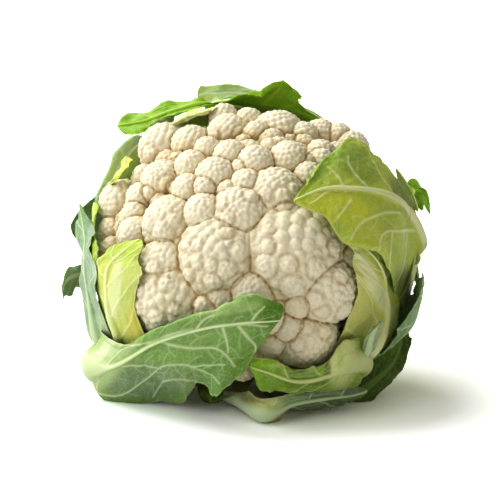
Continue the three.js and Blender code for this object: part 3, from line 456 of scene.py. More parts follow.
# Each leaf has stations from its foot to its tip. A station says how its three points are placed,
# then gives them as three numbers each: one edge, the rib and the other edge. rib is its half
# width at the foot and at the tip, then its height at both. wave is the height and number of the
# waves along the edges, and ragged how far the edges are torn in and out.
LEAVES = {
    "leaf_left_inner": {
        "rows": 9, "rib": [6, 2, 4, 1], "wave": [0.6, 3], "ragged": 1, "lift": 6.4, "stations": [
        (stem, 262, 62, 24.8, 240, 62, 24.8, 218, 62, 24.8),
        (around, 258, 122, 8, 240, 122, 9, 222, 122, 8), (seen, -80, -46, 4, -73, -47, 24, -54, -52, 42),
        (seen, -83, -28, 14, -76, -28, 30, -61, -29, 48), (seen, -81, -11, 18, -76, -10, 34, -60, -12, 53),
        (seen, -75, -1, 26, -70, -2, 42, -61, -3, 51), (seen, -64, 6, 46, -61, 6, 50, -59, 4, 53),
    ]},
    "leaf_left_side": {
        "rows": 9, "rib": [5, 2, 3, 1], "wave": [0.6, 3], "ragged": 1, "lift": 7, "stations": [
        (stem, 286, 64, 24.8, 268, 64, 24.8, 252, 64, 24.8),
        (around, 272, 122, 11, 258, 122, 12, 246, 122, 11), (seen, -86, -40, -4, -82, -41, 2, -78, -43, 6),
        (seen, -89, -18, 0, -86, -17, 8, -82, -16, 14), (seen, -89, -3, 2, -85, -3, 10, -79, -3, 22),
        (seen, -90, 12, -4, -88, 14, 2, -85, 11, 8), (seen, -89, 26, -14, -88, 27, -10, -86, 27, -6),
    ]},
    "leaf_upper_left_inner": {
        "rows": 7, "rib": [4, 1.5, 2.5, 1], "wave": [0.5, 3], "ragged": 1, "lift": 6.4, "stations": [
        (around, 300, 128, 7, 290, 128, 7, 280, 128, 7), (around, 302, 100, 7, 292, 100, 7, 282, 98, 7),
        (seen, -77, 37, -4, -73, 38, 0, -69, 39, 5), (seen, -75, 45, -6, -71, 46, -2, -66, 46, 3),
        (seen, -72, 52, -8, -70, 53, -6, -67, 52, -3),
    ]},
    "leaf_top_inner": {
        "rows": 7, "rib": [4, 1.5, 2.5, 1], "wave": [0.5, 3], "ragged": 1, "lift": 7.4, "stations": [
        (around, 326, 128, 7, 338, 128, 7, 350, 128, 7), (around, 322, 92, 7, 338, 92, 7, 354, 92, 7),
        (seen, -48, 67, -12, -36, 73, -10, -22, 76, -8), (seen, -44, 74, -18, -34, 80, -18, -24, 81, -16),
    ]},
    "leaf_right_inner": {
        "rows": 11, "rib": [7, 2, 4.5, 1.5], "wave": [0.6, 4], "ragged": 0.8, "lift": 6.4, "stations": [
        (stem, 156, 62, 24.8, 132, 62, 24.8, 108, 62, 24.8),
        (around, 150, 122, 8, 130, 122, 9, 110, 122, 8), (seen, 47, -57, 44, 67, -58, 30, 73, -57, 18),
        (seen, 50, -43, 50, 76, -43, 28, 82, -43, 16), (seen, 55, -28, 53, 77, -28, 31, 84, -28, 18),
        (seen, 57, -11, 58, 71, -11, 43, 78, -11, 30), (seen, 56, 0, 60, 63, 0, 53, 67, 0, 48),
        (seen, 52, 6, 62, 55, 6, 61, 58, 5, 59),
    ]},
    "leaf_under": {
        "rows": 6, "rib": [4, 1.5, 2, 1], "wave": [0.5, 2], "ragged": 1, "lift": 6.4, "stations": [
        (around, 208, 128, 8, 200, 128, 8, 192, 128, 8), (seen, -30, -74, 14, -23, -75, 15, -16, -76, 15),
        (seen, -29, -82, 24, -23, -83, 25, -16, -83, 26), (seen, -27, -86, 28, -22, -87, 28, -17, -86, 29),
    ]},
    "leaf_upper_left": {
        "rows": 10, "rib": [8, 2, 5, 1.5], "wave": [1, 3], "ragged": 1.2, "lift": 9, "stations": [
        (stem, 308, 70, 24.8, 290, 70, 24.8, 272, 70, 24.8),
        (around, 312, 122, 10, 292, 122, 12, 272, 120, 12),
        (seen, -88, 25, -34, -83, 27, -36, -72, 30, -42), (seen, -83, 40, -34, -78, 40, -36, -64, 38, -46),
        (seen, -79, 51, -32, -73, 50, -34, -60, 46, -46), (seen, -73, 60, -30, -67, 58, -32, -57, 53, -42),
        (seen, -64, 67, -28, -60, 64, -30, -56, 59, -36),
    ]},
    "leaf_top_left_low": {
        "rows": 6, "rib": [3, 1.5, 2, 1], "wave": [0.6, 2], "ragged": 1, "lift": 13, "stations": [
        (around, 310, 98, 15, 319, 98, 15, 328, 98, 15), (seen, -43, 76, -26, -46, 71, -24, -49, 65, -22),
        (seen, -50, 75, -29, -53, 69, -26, -56, 62, -24), (seen, -57, 72, -31, -58, 66, -29, -60, 61, -27),
    ]},
    "leaf_top_left": {
        "rows": 11, "rib": [7, 2, 4.5, 1.5], "wave": [1.4, 4], "ragged": 1.6, "lift": 12, "stations": [
        (stem, 318, 70, 24.8, 334, 70, 24.8, 350, 70, 24.8),
        (around, 320, 124, 13, 335, 124, 14, 350, 124, 13),
        (around, 326, 98, 13, 339, 98, 13, 352, 98, 13), (seen, -28, 86, -38, -25, 82, -34, -27, 78, -26),
        (seen, -43, 84, -40, -42, 79, -34, -42, 75, -26), (seen, -60, 79, -44, -59, 73, -38, -58, 67, -32),
        (seen, -75, 75, -48, -75, 70, -44, -74, 65, -38),
    ]},
    "leaf_top": {
        "rows": 12, "rib": [8, 2, 5, 1.5], "wave": [1.8, 4], "ragged": 1.6, "lift": 12, "stations": [
        (stem, 352, 74, 24.8, 8, 74, 24.8, 24, 74, 24.8), (around, 353, 126, 13, 11, 126, 15, 30, 126, 13),
        (around, 358, 98, 13, 12, 96, 14, 31, 94, 13), (seen, -22, 83, -34, 8, 81, -42, 42, 69, -40),
        (seen, -8, 86, -28, 12, 87, -36, 36, 76, -38), (seen, 6, 88, -24, 17, 92, -32, 28, 86, -34),
        (seen, 12, 94, -24, 19, 96, -28, 26, 92, -30),
    ]},
    "leaf_bottom_stub": {
        "rows": 12, "rib": [9, 2, 6, 1], "wave": [1, 4], "ragged": 0.8, "lift": 11, "stations": [
        (stem, 134, 70, 24.8, 150, 70, 24.8, 166, 70, 24.8),
        (around, 134, 128, 16, 148, 128, 17, 162, 128, 16), (seen, 65, -53, 24, 64, -66, 26, 61, -77, 20),
        (seen, 57, -50, 50, 54, -64, 52, 52, -79, 36), (seen, 44, -64, 56, 43, -71, 56, 41, -80, 44),
        (seen, 28, -69, 60, 27, -74, 60, 27, -81, 50), (seen, 12, -61, 68, 10, -69, 66, 8, -80, 56),
        (seen, -2, -60, 68, 0, -66, 68, 3, -76, 62),
    ]},
    "leaf_right_point": {
        "rows": 5, "rib": [3, 1, 2, 0.8], "wave": [0.4, 2], "ragged": 0.4, "lift": 14, "stations": [
        (around, 130, 104, 14, 124, 104, 15, 118, 104, 14), (seen, 63, -58, 42, 66, -58, 42, 70, -57, 38),
        (seen, 66, -48, 45, 69, -49, 45, 73, -49, 41), (seen, 73, -39, 42, 74, -40, 42, 75, -40, 41),
    ]},
    "leaf_left_outer": {
        "rows": 11, "rib": [7, 2, 5, 1.5], "wave": [1.2, 4], "ragged": 1.4, "lift": 8.5, "stations": [
        (stem, 268, 72, 24.8, 250, 72, 24.8, 234, 72, 24.8),
        (around, 268, 124, 15, 254, 124, 16, 240, 124, 15),
        (seen, -89, -52, -12, -84, -52, -2, -77, -48, 14), (seen, -95, -30, -8, -90, -29, 4, -82, -28, 24),
        (seen, -96, -10, -8, -92, -8, 4, -85, -8, 22), (seen, -98, 10, -14, -93, 9, -4, -86, 7, 14),
        (seen, -98, 28, -22, -96, 26, -14, -92, 22, -4),
    ]},
    "leaf_left_flap": {
        "rows": 7, "rib": [3, 1, 2, 1], "wave": [1.2, 2], "ragged": 1.4, "lift": 14, "stations": [
        (around, 286, 108, 16, 276, 112, 18, 266, 114, 16),
        (seen, -90, -9, -26, -90, -16, -26, -90, -24, -26),
        (seen, -98, -8, -20, -97, -14, -18, -98, -22, -20),
        (seen, -104, -11, -14, -104, -17, -12, -103, -25, -14),
        (seen, -107, -18, -10, -107, -23, -8, -105, -29, -8),
    ]},
    "leaf_right": {
        "rows": 14, "rib": [9, 2.5, 6, 1.5], "wave": [1.2, 4], "ragged": 1, "lift": 11, "stations": [
        (stem, 58, 74, 24.8, 78, 74, 24.8, 98, 74, 24.8), (around, 52, 124, 14, 76, 124, 16, 100, 122, 13),
        (around, 52, 106, 16, 76, 104, 17, 98, 104, 15), (seen, 90, 24, -20, 96, 3, -6, 88, -34, 2),
        (seen, 82, 39, -6, 89, 20, 12, 83, -28, 22), (seen, 72, 53, 8, 73, 29, 34, 69, -5, 46),
        (seen, 55, 58, 20, 55, 33, 52, 53, 4, 66), (seen, 42, 52, 42, 40, 33, 60, 41, 19, 68),
        (seen, 31, 35, 62, 24, 27, 67, 32, 22, 68),
    ]},
    "leaf_right_curl": {
        "rows": 6, "rib": [3, 1, 2, 1], "wave": [1.4, 2], "ragged": 1.6, "lift": 16, "stations": [
        (around, 44, 96, 20, 54, 98, 21, 64, 98, 20), (seen, 86, 36, -32, 89, 31, -32, 92, 25, -30),
        (seen, 93, 40, -28, 97, 34, -28, 99, 24, -26), (seen, 100, 36, -24, 102, 31, -24, 103, 22, -22),
    ]},
    "leaf_bottom_right": {
        "rows": 11, "rib": [7, 2, 5, 1.5], "wave": [1.4, 4], "ragged": 2.2, "lift": 14, "stations": [
        (stem, 118, 76, 24.8, 134, 76, 24.8, 150, 76, 24.8),
        (around, 112, 130, 18, 126, 130, 20, 140, 132, 18), (seen, 56, -72, 6, 58, -83, 8, 62, -91, 5),
        (seen, 67, -64, 4, 72, -74, 6, 76, -80, 2), (seen, 76, -52, -2, 82, -64, 0, 86, -70, -2),
        (seen, 80, -42, -8, 86, -53, -6, 91, -54, -6), (seen, 84, -35, -14, 87, -38, -12, 90, -37, -10),
    ]},
    "leaf_front_left": {
        "rows": 15, "rib": [13, 2, 8, 1.5], "wave": [1.2, 5], "ragged": 1.4, "lift": 12, "stations": [
        (stem, 244, 80, 23.6, 226, 80, 23.6, 208, 80, 23.6),
        (around, 240, 132, 18, 228, 132, 22, 214, 132, 17),
        (around, 244, 112, 17, 232, 114, 27, 220, 116, 24), (seen, -80, -43, 8, -89, -65, 4, -84, -84, 1),
        (seen, -66, -48, 36, -77, -66, 26, -70, -89, 3), (seen, -48, -47, 62, -52, -51, 63, -42, -85, 20),
        (seen, -26, -38, 76, -27, -44, 77, -28, -78, 50), (seen, -3, -27, 82, -4, -41, 82, -14, -80, 62),
        (seen, 23, -31, 82, 17, -40, 82, 5, -57, 78),
    ]},
    "leaf_bottom_front": {
        "rows": 12, "rib": [9, 2, 6, 1.2], "wave": [0.8, 3], "ragged": 0.8, "lift": 8, "stations": [
        (stem, 196, 72, 24.8, 180, 72, 24.8, 164, 72, 24.8),
        (around, 196, 126, 8, 184, 126, 8, 170, 126, 8), (seen, -4, -78, 28, -1, -86, 29, 3, -91, 26),
        (seen, 9, -85, 50, 10, -92, 48, 11, -99, 38), (seen, 23, -82, 48, 23, -87, 46, 22, -92, 34),
        (seen, 40, -79, 38, 41, -84, 37, 41, -90, 26), (seen, 57, -77, 28, 58, -82, 27, 57, -87, 19),
        (seen, 65, -78, 22, 66, -80, 22, 65, -82, 20),
    ]},
    "leaf_top_back": {
        "rows": 10, "rib": [10, 8, 7, 5], "wave": [0.6, 3], "ragged": 0.6, "lift": 20, "stations": [
        (stem, 28, 82, 23.6, 10, 82, 23.6, 352, 82, 23.6),
        (around, 26, 128, 22, 10, 128, 24, 354, 128, 22), (around, 18, 98, 20, 9, 98, 23, 0, 98, 20),
        (seen, 12, 88, -56, 8, 87, -54, 6, 83, -48), (seen, -8, 94, -54, -10, 90, -52, -10, 84, -46),
        (seen, -28, 94, -52, -30, 89, -50, -28, 84, -46),
    ]},
    "leaf_back_left": {
        "rows": 10, "rib": [11, 3, 7, 1.5], "wave": [1.6, 4], "ragged": 1.8, "lift": 17, "stations": [
        (stem, 320, 84, 23.6, 300, 84, 23.6, 280, 84, 23.6),
        (around, 326, 130, 20, 302, 130, 22, 274, 130, 21),
        (around, 332, 110, 19, 302, 110, 21, 268, 112, 23),
        (around, 330, 99, 18, 304, 97, 19, 268, 96, 26), (around, 326, 93, 18, 304, 90, 17, 274, 85, 26),
    ]},
    "leaf_back_right": {
        "rows": 10, "rib": [11, 3, 7, 1.5], "wave": [1.6, 4], "ragged": 1.8, "lift": 19, "stations": [
        (stem, 30, 88, 22.4, 50, 88, 22.4, 70, 88, 22.4), (around, 26, 132, 24, 50, 132, 26, 76, 132, 24),
        (around, 24, 118, 22, 50, 118, 22, 80, 118, 24), (around, 26, 111, 20, 50, 110, 20, 78, 112, 23),
        (around, 34, 106, 18, 48, 105, 18, 62, 106, 19),
    ]},
    "leaf_back_low": {
        "rows": 9, "rib": [11, 4, 7, 2], "wave": [1.2, 3], "ragged": 1.2, "lift": 16, "stations": [
        (stem, 92, 86, 23.6, 112, 86, 23.6, 132, 86, 23.6),
        (around, 88, 130, 20, 108, 130, 22, 128, 134, 18),
        (around, 86, 112, 22, 102, 112, 26, 116, 116, 22), (around, 88, 98, 22, 98, 97, 26, 108, 102, 24),
    ]},
}

# How a rib fades into the blade, and the widest share of a leaf that it may take
RIB_FADE = 1.2
RIB_SHARE_LIMIT = 0.6

# A rib's half width as it leaves the leaf's thick foot and at the tip
SLIM_RIB = (1.9, 0.7)

# Tears and waves grow between these shares of a leaf's length. A tear comes every few rows, and
# the waves of a leaf's two edges are out of step
FREE_FROM = 0.35
FREE_ALL = 0.7
TEAR_STEP = 2.4
TEAR_START = 5
OUT_OF_STEP = 1.7
EDGES_APART = 40.0

# Irregular waves: how high, how long and which seed is added to the leaf's own. Teeth are along
# the edges, and a pucker swells the blade
TEETH = ((0.6, 9, 50), (0.5, 3.2, 60))
TEETH_HEIGHT = 0.3
PUCKERS = ((0.45, 16, 70), (0.22, 6, 80))
FRILL = (0.8, 11, 90)
FRILL_FROM_EDGE = 9
FRILL_STRETCH = 0.2

# The blade's thickness inside and at its edge, how far the edge thins, and its inner face's offset
BLADE = 0.85
BLADE_EDGE = 0.4
EDGE_FADE = 2.5
INNER_OFFSET = 0.25
TIP_ROUND = 0.03
FLOOR_CLEARANCE = 0.05

# Grid sizes: fine where a leaf shows from the front, coarser elsewhere
FINE_CELL = 0.5
PLAIN_CELL = 1.1
FEWEST_ROWS = 24
FEWEST_COLUMNS = 10
RIB_SAMPLES = 200

# A leaf's colours: its blade, its foot, beside its rib, its rib and its tip. side says how many
# side veins it has on each side of the rib, margin how pale its edge is, slims where its rib turns
# slim, and fine that it has the fine grid
ANY_LEAF = {"side": 6, "margin": 0.35, "slims": (0.3, 0.58), "fine": False}
WAXY = {**ANY_LEAF, "blade": (140, 160, 128), "foot": (196, 212, 160),
        "near": (160, 186, 140), "rib": (212, 224, 190), "tip": (120, 155, 112),
        "margin": 0.6}
FRESH = {**ANY_LEAF, "blade": (138, 182, 10), "foot": (200, 214, 130),
         "near": (154, 192, 20), "rib": (178, 208, 78), "tip": (138, 184, 8)}
YOUNG = {**ANY_LEAF, "blade": (202, 209, 124), "foot": (226, 226, 140),
         "near": (212, 216, 104), "rib": (230, 236, 182), "tip": (176, 204, 66),
         "side": 9}
DEEP = {**ANY_LEAF, "blade": (70, 98, 14), "foot": (150, 170, 90),
        "near": (84, 112, 30), "rib": (140, 160, 80), "tip": (60, 84, 24)}
LOOKS = {
    "leaf_left_inner": {**YOUNG, "fine": True},
    "leaf_left_side": {**YOUNG, "blade": (150, 180, 40), "foot": (190, 200, 60)},
    "leaf_upper_left_inner": {**YOUNG, "blade": (196, 214, 40), "tip": (190, 214, 30)},
    "leaf_top_inner": {**YOUNG, "blade": (220, 230, 170), "tip": (224, 234, 190),
                       "foot": (228, 218, 80)},
    "leaf_right_inner": {**YOUNG, "blade": (206, 208, 122), "rib": (232, 232, 190),
                         "tip": (180, 196, 90), "fine": True},
    "leaf_under": DEEP,
    "leaf_upper_left": {**WAXY, "blade": (186, 208, 134), "tip": (168, 192, 116)},
    "leaf_top_left_low": {**DEEP, "blade": (74, 112, 20)},
    "leaf_top_left": {**FRESH, "fine": True},
    "leaf_top": {**FRESH, "fine": True},
    "leaf_bottom_stub": {**FRESH, "blade": (136, 166, 56), "foot": (210, 214, 156),
                         "rib": (208, 214, 156), "fine": True, "slims": (0.42, 0.54)},
    "leaf_right_point": {**WAXY, "blade": (112, 130, 92)},
    "leaf_left_outer": {**WAXY, "blade": (146, 172, 148), "fine": True},
    "leaf_left_flap": {**WAXY, "blade": (124, 158, 122), "tip": (112, 148, 108)},
    "leaf_right": {**FRESH, "blade": (182, 196, 84), "near": (200, 208, 92),
                   "rib": (226, 228, 184), "foot": (196, 204, 150),
                   "tip": (158, 188, 76), "fine": True, "slims": (0.4, 0.75)},
    "leaf_right_curl": {**FRESH, "blade": (150, 184, 84), "tip": (140, 180, 70)},
    "leaf_bottom_right": DEEP,
    "leaf_front_left": {**WAXY, "blade": (134, 166, 90), "near": (146, 178, 108),
                        "foot": (206, 216, 168), "rib": (216, 226, 186),
                        "tip": (108, 148, 44), "fine": True, "slims": (0.4, 0.5)},
    "leaf_bottom_front": {**WAXY, "blade": (104, 128, 92), "foot": (212, 214, 160),
                          "tip": (92, 120, 70), "fine": True, "slims": (0.4, 0.52)},
    "leaf_top_back": {**WAXY, "blade": (180, 200, 130), "tip": (206, 220, 150)},
    "leaf_back_left": WAXY,
    "leaf_back_right": WAXY,
    "leaf_back_low": {**WAXY, "blade": (112, 146, 100)},
}

# Veins that show in front, as seen there: points across and up, from thick to thin
VEINS_IN_VIEW = {
    "leaf_front_left": [
        [(-85, -82), (-80, -65), (-71, -57), (-55, -51), (-42, -46), (-28, -44), (-14, -43), (0, -42),
         (10, -43)],
        [(-50, -52), (-36, -55), (-23, -55), (-18, -56), (-12, -60), (-8, -66)],
        [(-85, -81), (-71, -81), (-63, -76), (-55, -70), (-48, -65), (-35, -65), (-28, -68), (-16, -75)],
        [(-33, -66), (-23, -65), (-14, -65)],
        [(-55, -83), (-51, -77), (-46, -73), (-36, -73), (-28, -76)],
        [(-6, -43), (-2, -48), (3, -54), (6, -59)],
        [(0, -42), (4, -36), (8, -32)],
        [(-15, -44), (-13, -50), (-12, -58)],
        [(-75, -65), (-68, -65), (-59, -65), (-50, -67)],
        [(-30, -44), (-26, -39), (-20, -37)],
    ],
    "leaf_right": [
        [(84, 21), (76, 21), (68, 18), (64, 16), (60, 12), (57, 6)],
        [(54, 33), (51, 39), (47, 44), (44, 47)],
        [(69, 32), (61, 41), (56, 48), (55, 52)],
        [(83, 27), (75, 40), (69, 51), (66, 58)],
        [(57, 28), (52, 21), (48, 16)],
        [(94, 10), (85, 11), (76, 10), (73, 6), (72, 0)],
        [(88, 10), (87, -6), (84, -17), (80, -24)],
        [(80, 10), (79, -4), (77, -14)],
        [(44, 33), (38, 28), (34, 26)],
    ],
}

# Half widths of the veins at their two ends. Twigs, forks and cross veins are thin and weak. A
# twig leaves a vein in view every few points. A leaf with more side veins than YOUNG_VEINS_FROM
# has them without forks and cross veins
SEEN_VEIN_WIDTHS = (0.9, 0.5)
SIDE_VEIN_WIDTHS = (0.8, 0.45)
YOUNG_VEIN_WIDTHS = (0.55, 0.45)
THIN_VEIN_WIDTHS = (0.5, 0.42)
THIN_VEIN_STRENGTH = 0.45
TWIG_LENGTHS = (7, 15)
TWIG_EVERY = 6
TWIG_TURN = (0.8, 1.2)
TWIG_BEND = 0.3
YOUNG_VEINS_FROM = 8

# Side veins: the share of the leaf's length where the first leaves the rib and that they all take,
# how far one bends to the tip, how a fork goes, and which points of two neighbours cross veins join
VEINS_FROM = 0.2
VEINS_SPAN = 0.72
VEIN_BEND = (0.7, 1.1)
FORK = (0.75, 0.3)
CROSSINGS = ((8, 4), (5, 3), (10, 7))
CROSS_BOW = 0.06

# How high a vein stands for its width, how much worse a point on the far side fits a vein in
# view, and how far from a vein its soft edge is drawn
VEIN_HEIGHT = 0.6
HIDDEN_PENALTY = 50
VEIN_REACH = 4

# Patches of colour on the leaves, a painted highlight and a painted shadow among them, as seen from the
# front: across, up, half length, half width, turn in degrees, colour, share, and how far the patch bulges
PATCHES_IN_VIEW = {
    "leaf_front_left": [
        (-60, -74, 34, 12, 0, (126, 146, 116), 0.75, 0),
        (-20, -70, 18, 12, -20, (112, 150, 84), 0.5, 0),
        (14, -36, 12, 9, 25, (96, 138, 24), 0.85, 0),
        (-10, -33, 22, 4, 8, (196, 214, 150), 0.45, 0),
        (-81, -62, 30, 11, 56, (192, 206, 154), 1, 0.6),
        # A painted highlight along the petiole
        (-82, -58, 22, 3, 56, (224, 230, 198), 0.7, 0),
        (-92, -66, 22, 3.5, 62, (176, 200, 124), 0.6, 0),
        (-72, -62, 22, 2.5, 50, (170, 192, 126), 0.6, 0),
        (-71, -45, 6.5, 1.6, -28, (176, 150, 96), 0.8, 0),
    ],
    "leaf_right": [
        (50, 24, 24, 10, -10, (214, 216, 72), 0.7, 0),
        (66, 4, 18, 12, -50, (210, 212, 92), 0.6, 0),
        (60, 48, 18, 9, -40, (132, 160, 66), 0.6, 0),
        (88, 26, 20, 5, -60, (86, 108, 50), 0.7, 0),
        (44, 55, 8, 5, 30, (140, 184, 60), 0.6, 0),
        (88, -22, 16, 7, -80, (150, 160, 112), 0.7, 0),
        (34, 20, 10, 4, -40, (214, 206, 110), 0.5, 0),
    ],
    "leaf_left_inner": [
        (-76, -24, 26, 4.5, 82, (222, 228, 178), 0.8, 0.5),
        (-63, -38, 14, 7, 80, (208, 192, 60), 0.7, 0),
        (-66, -2, 10, 7, 40, (196, 212, 96), 0.6, 0),
    ],
    "leaf_right_inner": [
        (70, -20, 34, 5, -62, (230, 232, 190), 0.75, 0.5),
        (60, -38, 22, 10, -70, (206, 206, 128), 0.7, 0),
        (76, -12, 20, 3.5, -58, (150, 176, 50), 0.7, 0),
    ],
    "leaf_bottom_stub": [
        (52, -63, 18, 9, 80, (214, 218, 160), 1, 1.2),
        (57, -63, 16, 1.3, 78, (176, 188, 104), 0.6, 0),
        (50, -64, 14, 1.1, 76, (186, 196, 116), 0.6, 0),
        # A painted shadow line along the left edge of the pale slab
        (44, -66, 13, 1.8, 74, (92, 118, 44), 0.8, 0),
        (52, -49, 6, 2, 15, (196, 190, 120), 0.6, 0),
        (30, -74, 16, 6, 0, (104, 132, 40), 0.7, 0),
        (12, -72, 10, 8, 10, (130, 160, 70), 0.5, 0),
        (30, -64, 22, 2.2, 4, (206, 214, 150), 0.7, 0),
    ],
    "leaf_bottom_front": [
        (8, -90, 14, 10, 0, (208, 208, 150), 1, 1),
        (10, -83, 13, 3.5, 5, (176, 150, 84), 0.8, 0),
        (48, -82, 22, 8, 10, (116, 136, 104), 0.7, 0),
    ],
    "leaf_bottom_right": [
        (80, -50, 18, 8, 65, (110, 142, 40), 0.8, 0),
        (66, -70, 14, 6, 50, (70, 104, 16), 0.6, 0),
    ],
    "leaf_left_outer": [
        (-92, -10, 40, 4, 84, (160, 178, 156), 0.7, 0),
        (-83, -30, 26, 1.8, 106, (226, 234, 210), 0.7, 0),
        (-84, -44, 12, 8, 60, (196, 210, 176), 0.7, 0),
    ],
    "leaf_upper_left": [
        (-72, 46, 20, 8, 55, (200, 216, 150), 0.8, 0),
        (-80, 30, 10, 8, 60, (96, 140, 24), 0.7, 0),
        (-62, 63, 6, 4, 20, (150, 168, 140), 0.7, 0),
    ],
    "leaf_top_back": [
        (-28, 90, 8, 8, 0, (206, 216, 130), 0.7, 0),
        (-10, 91, 22, 6, -6, (200, 212, 160), 0.7, 0),
    ],
}

# How the fibres along a leaf's foot darken it
FIBRE_SHADE = np.array([0.84, 0.92, 0.76])


def spline(points, shares):
    """A centripetal Catmull-Rom curve through points, at shares of the way along them"""
    padded = np.vstack([2 * points[0] - points[1], points, 2 * points[-1] - points[-2]])
    place = np.clip(shares, 0, 1) * (len(points) - 1)
    index = np.minimum(place.astype(int), len(points) - 2)
    w = (place - index)[:, None]
    p0, p1, p2, p3 = (padded[index + k] for k in range(4))
    d0, d1, d2 = (np.linalg.norm(b - a, axis=1, keepdims=True) ** 0.5
                  for a, b in ((p0, p1), (p1, p2), (p2, p3)))
    leave = ((p1 - p0) / d0 - (p2 - p0) / (d0 + d1) + (p2 - p1) / d1) * d1
    arrive = ((p2 - p1) / d1 - (p3 - p1) / (d1 + d2) + (p3 - p2) / d2) * d1
    square = -3 * p1 + 3 * p2 - 2 * leave - arrive
    cube = 2 * p1 - 2 * p2 + leave + arrive
    return p1 + leave * w + square * w ** 2 + cube * w ** 3


def ripple(x, y, length, seed, count=7):
    """Smooth irregular waves of about this length, from -1 to 1"""
    rng = np.random.default_rng(seed)
    total = np.zeros(np.broadcast(x, y).shape)
    for _ in range(count):
        turn = rng.uniform(0, 2 * math.pi)
        pace = 2 * math.pi / length * rng.uniform(0.7, 1.5)
        total += np.sin(pace * (math.cos(turn) * x + math.sin(turn) * y) + rng.uniform(0, 2 * math.pi))
    return total / count * 1.6


def waves(kinds, x, y, seed):
    return sum(height * ripple(x, y, length, seed + own) for height, length, own in kinds)


def in_view(points):
    """Where points are seen from the front: across and up on the plane through the middle"""
    offset = points - EYE
    scale = -VIEW_DISTANCE / (offset @ TOWARD)
    return (offset @ RIGHT) * scale, (offset @ UP) * scale


def patch_share(across, up, x, y, half_length, half_width, turn):
    """From 1 in the middle of a soft oval patch to 0 outside it, as seen from the front"""
    dx, dy = across - x, up - y
    cos, sin = math.cos(math.radians(turn)), math.sin(math.radians(turn))
    reach = np.hypot((dx * cos + dy * sin) / half_length, (dy * cos - dx * sin) / half_width)
    return 1 - smooth_step(reach, 0.5, 1.15)


def lengths_along(points, axis):
    steps = np.linalg.norm(np.diff(points, axis=axis), axis=-1)
    start = np.zeros_like(np.take(steps, [0], axis=axis))
    return np.concatenate([start, np.cumsum(steps, axis=axis)], axis=axis)


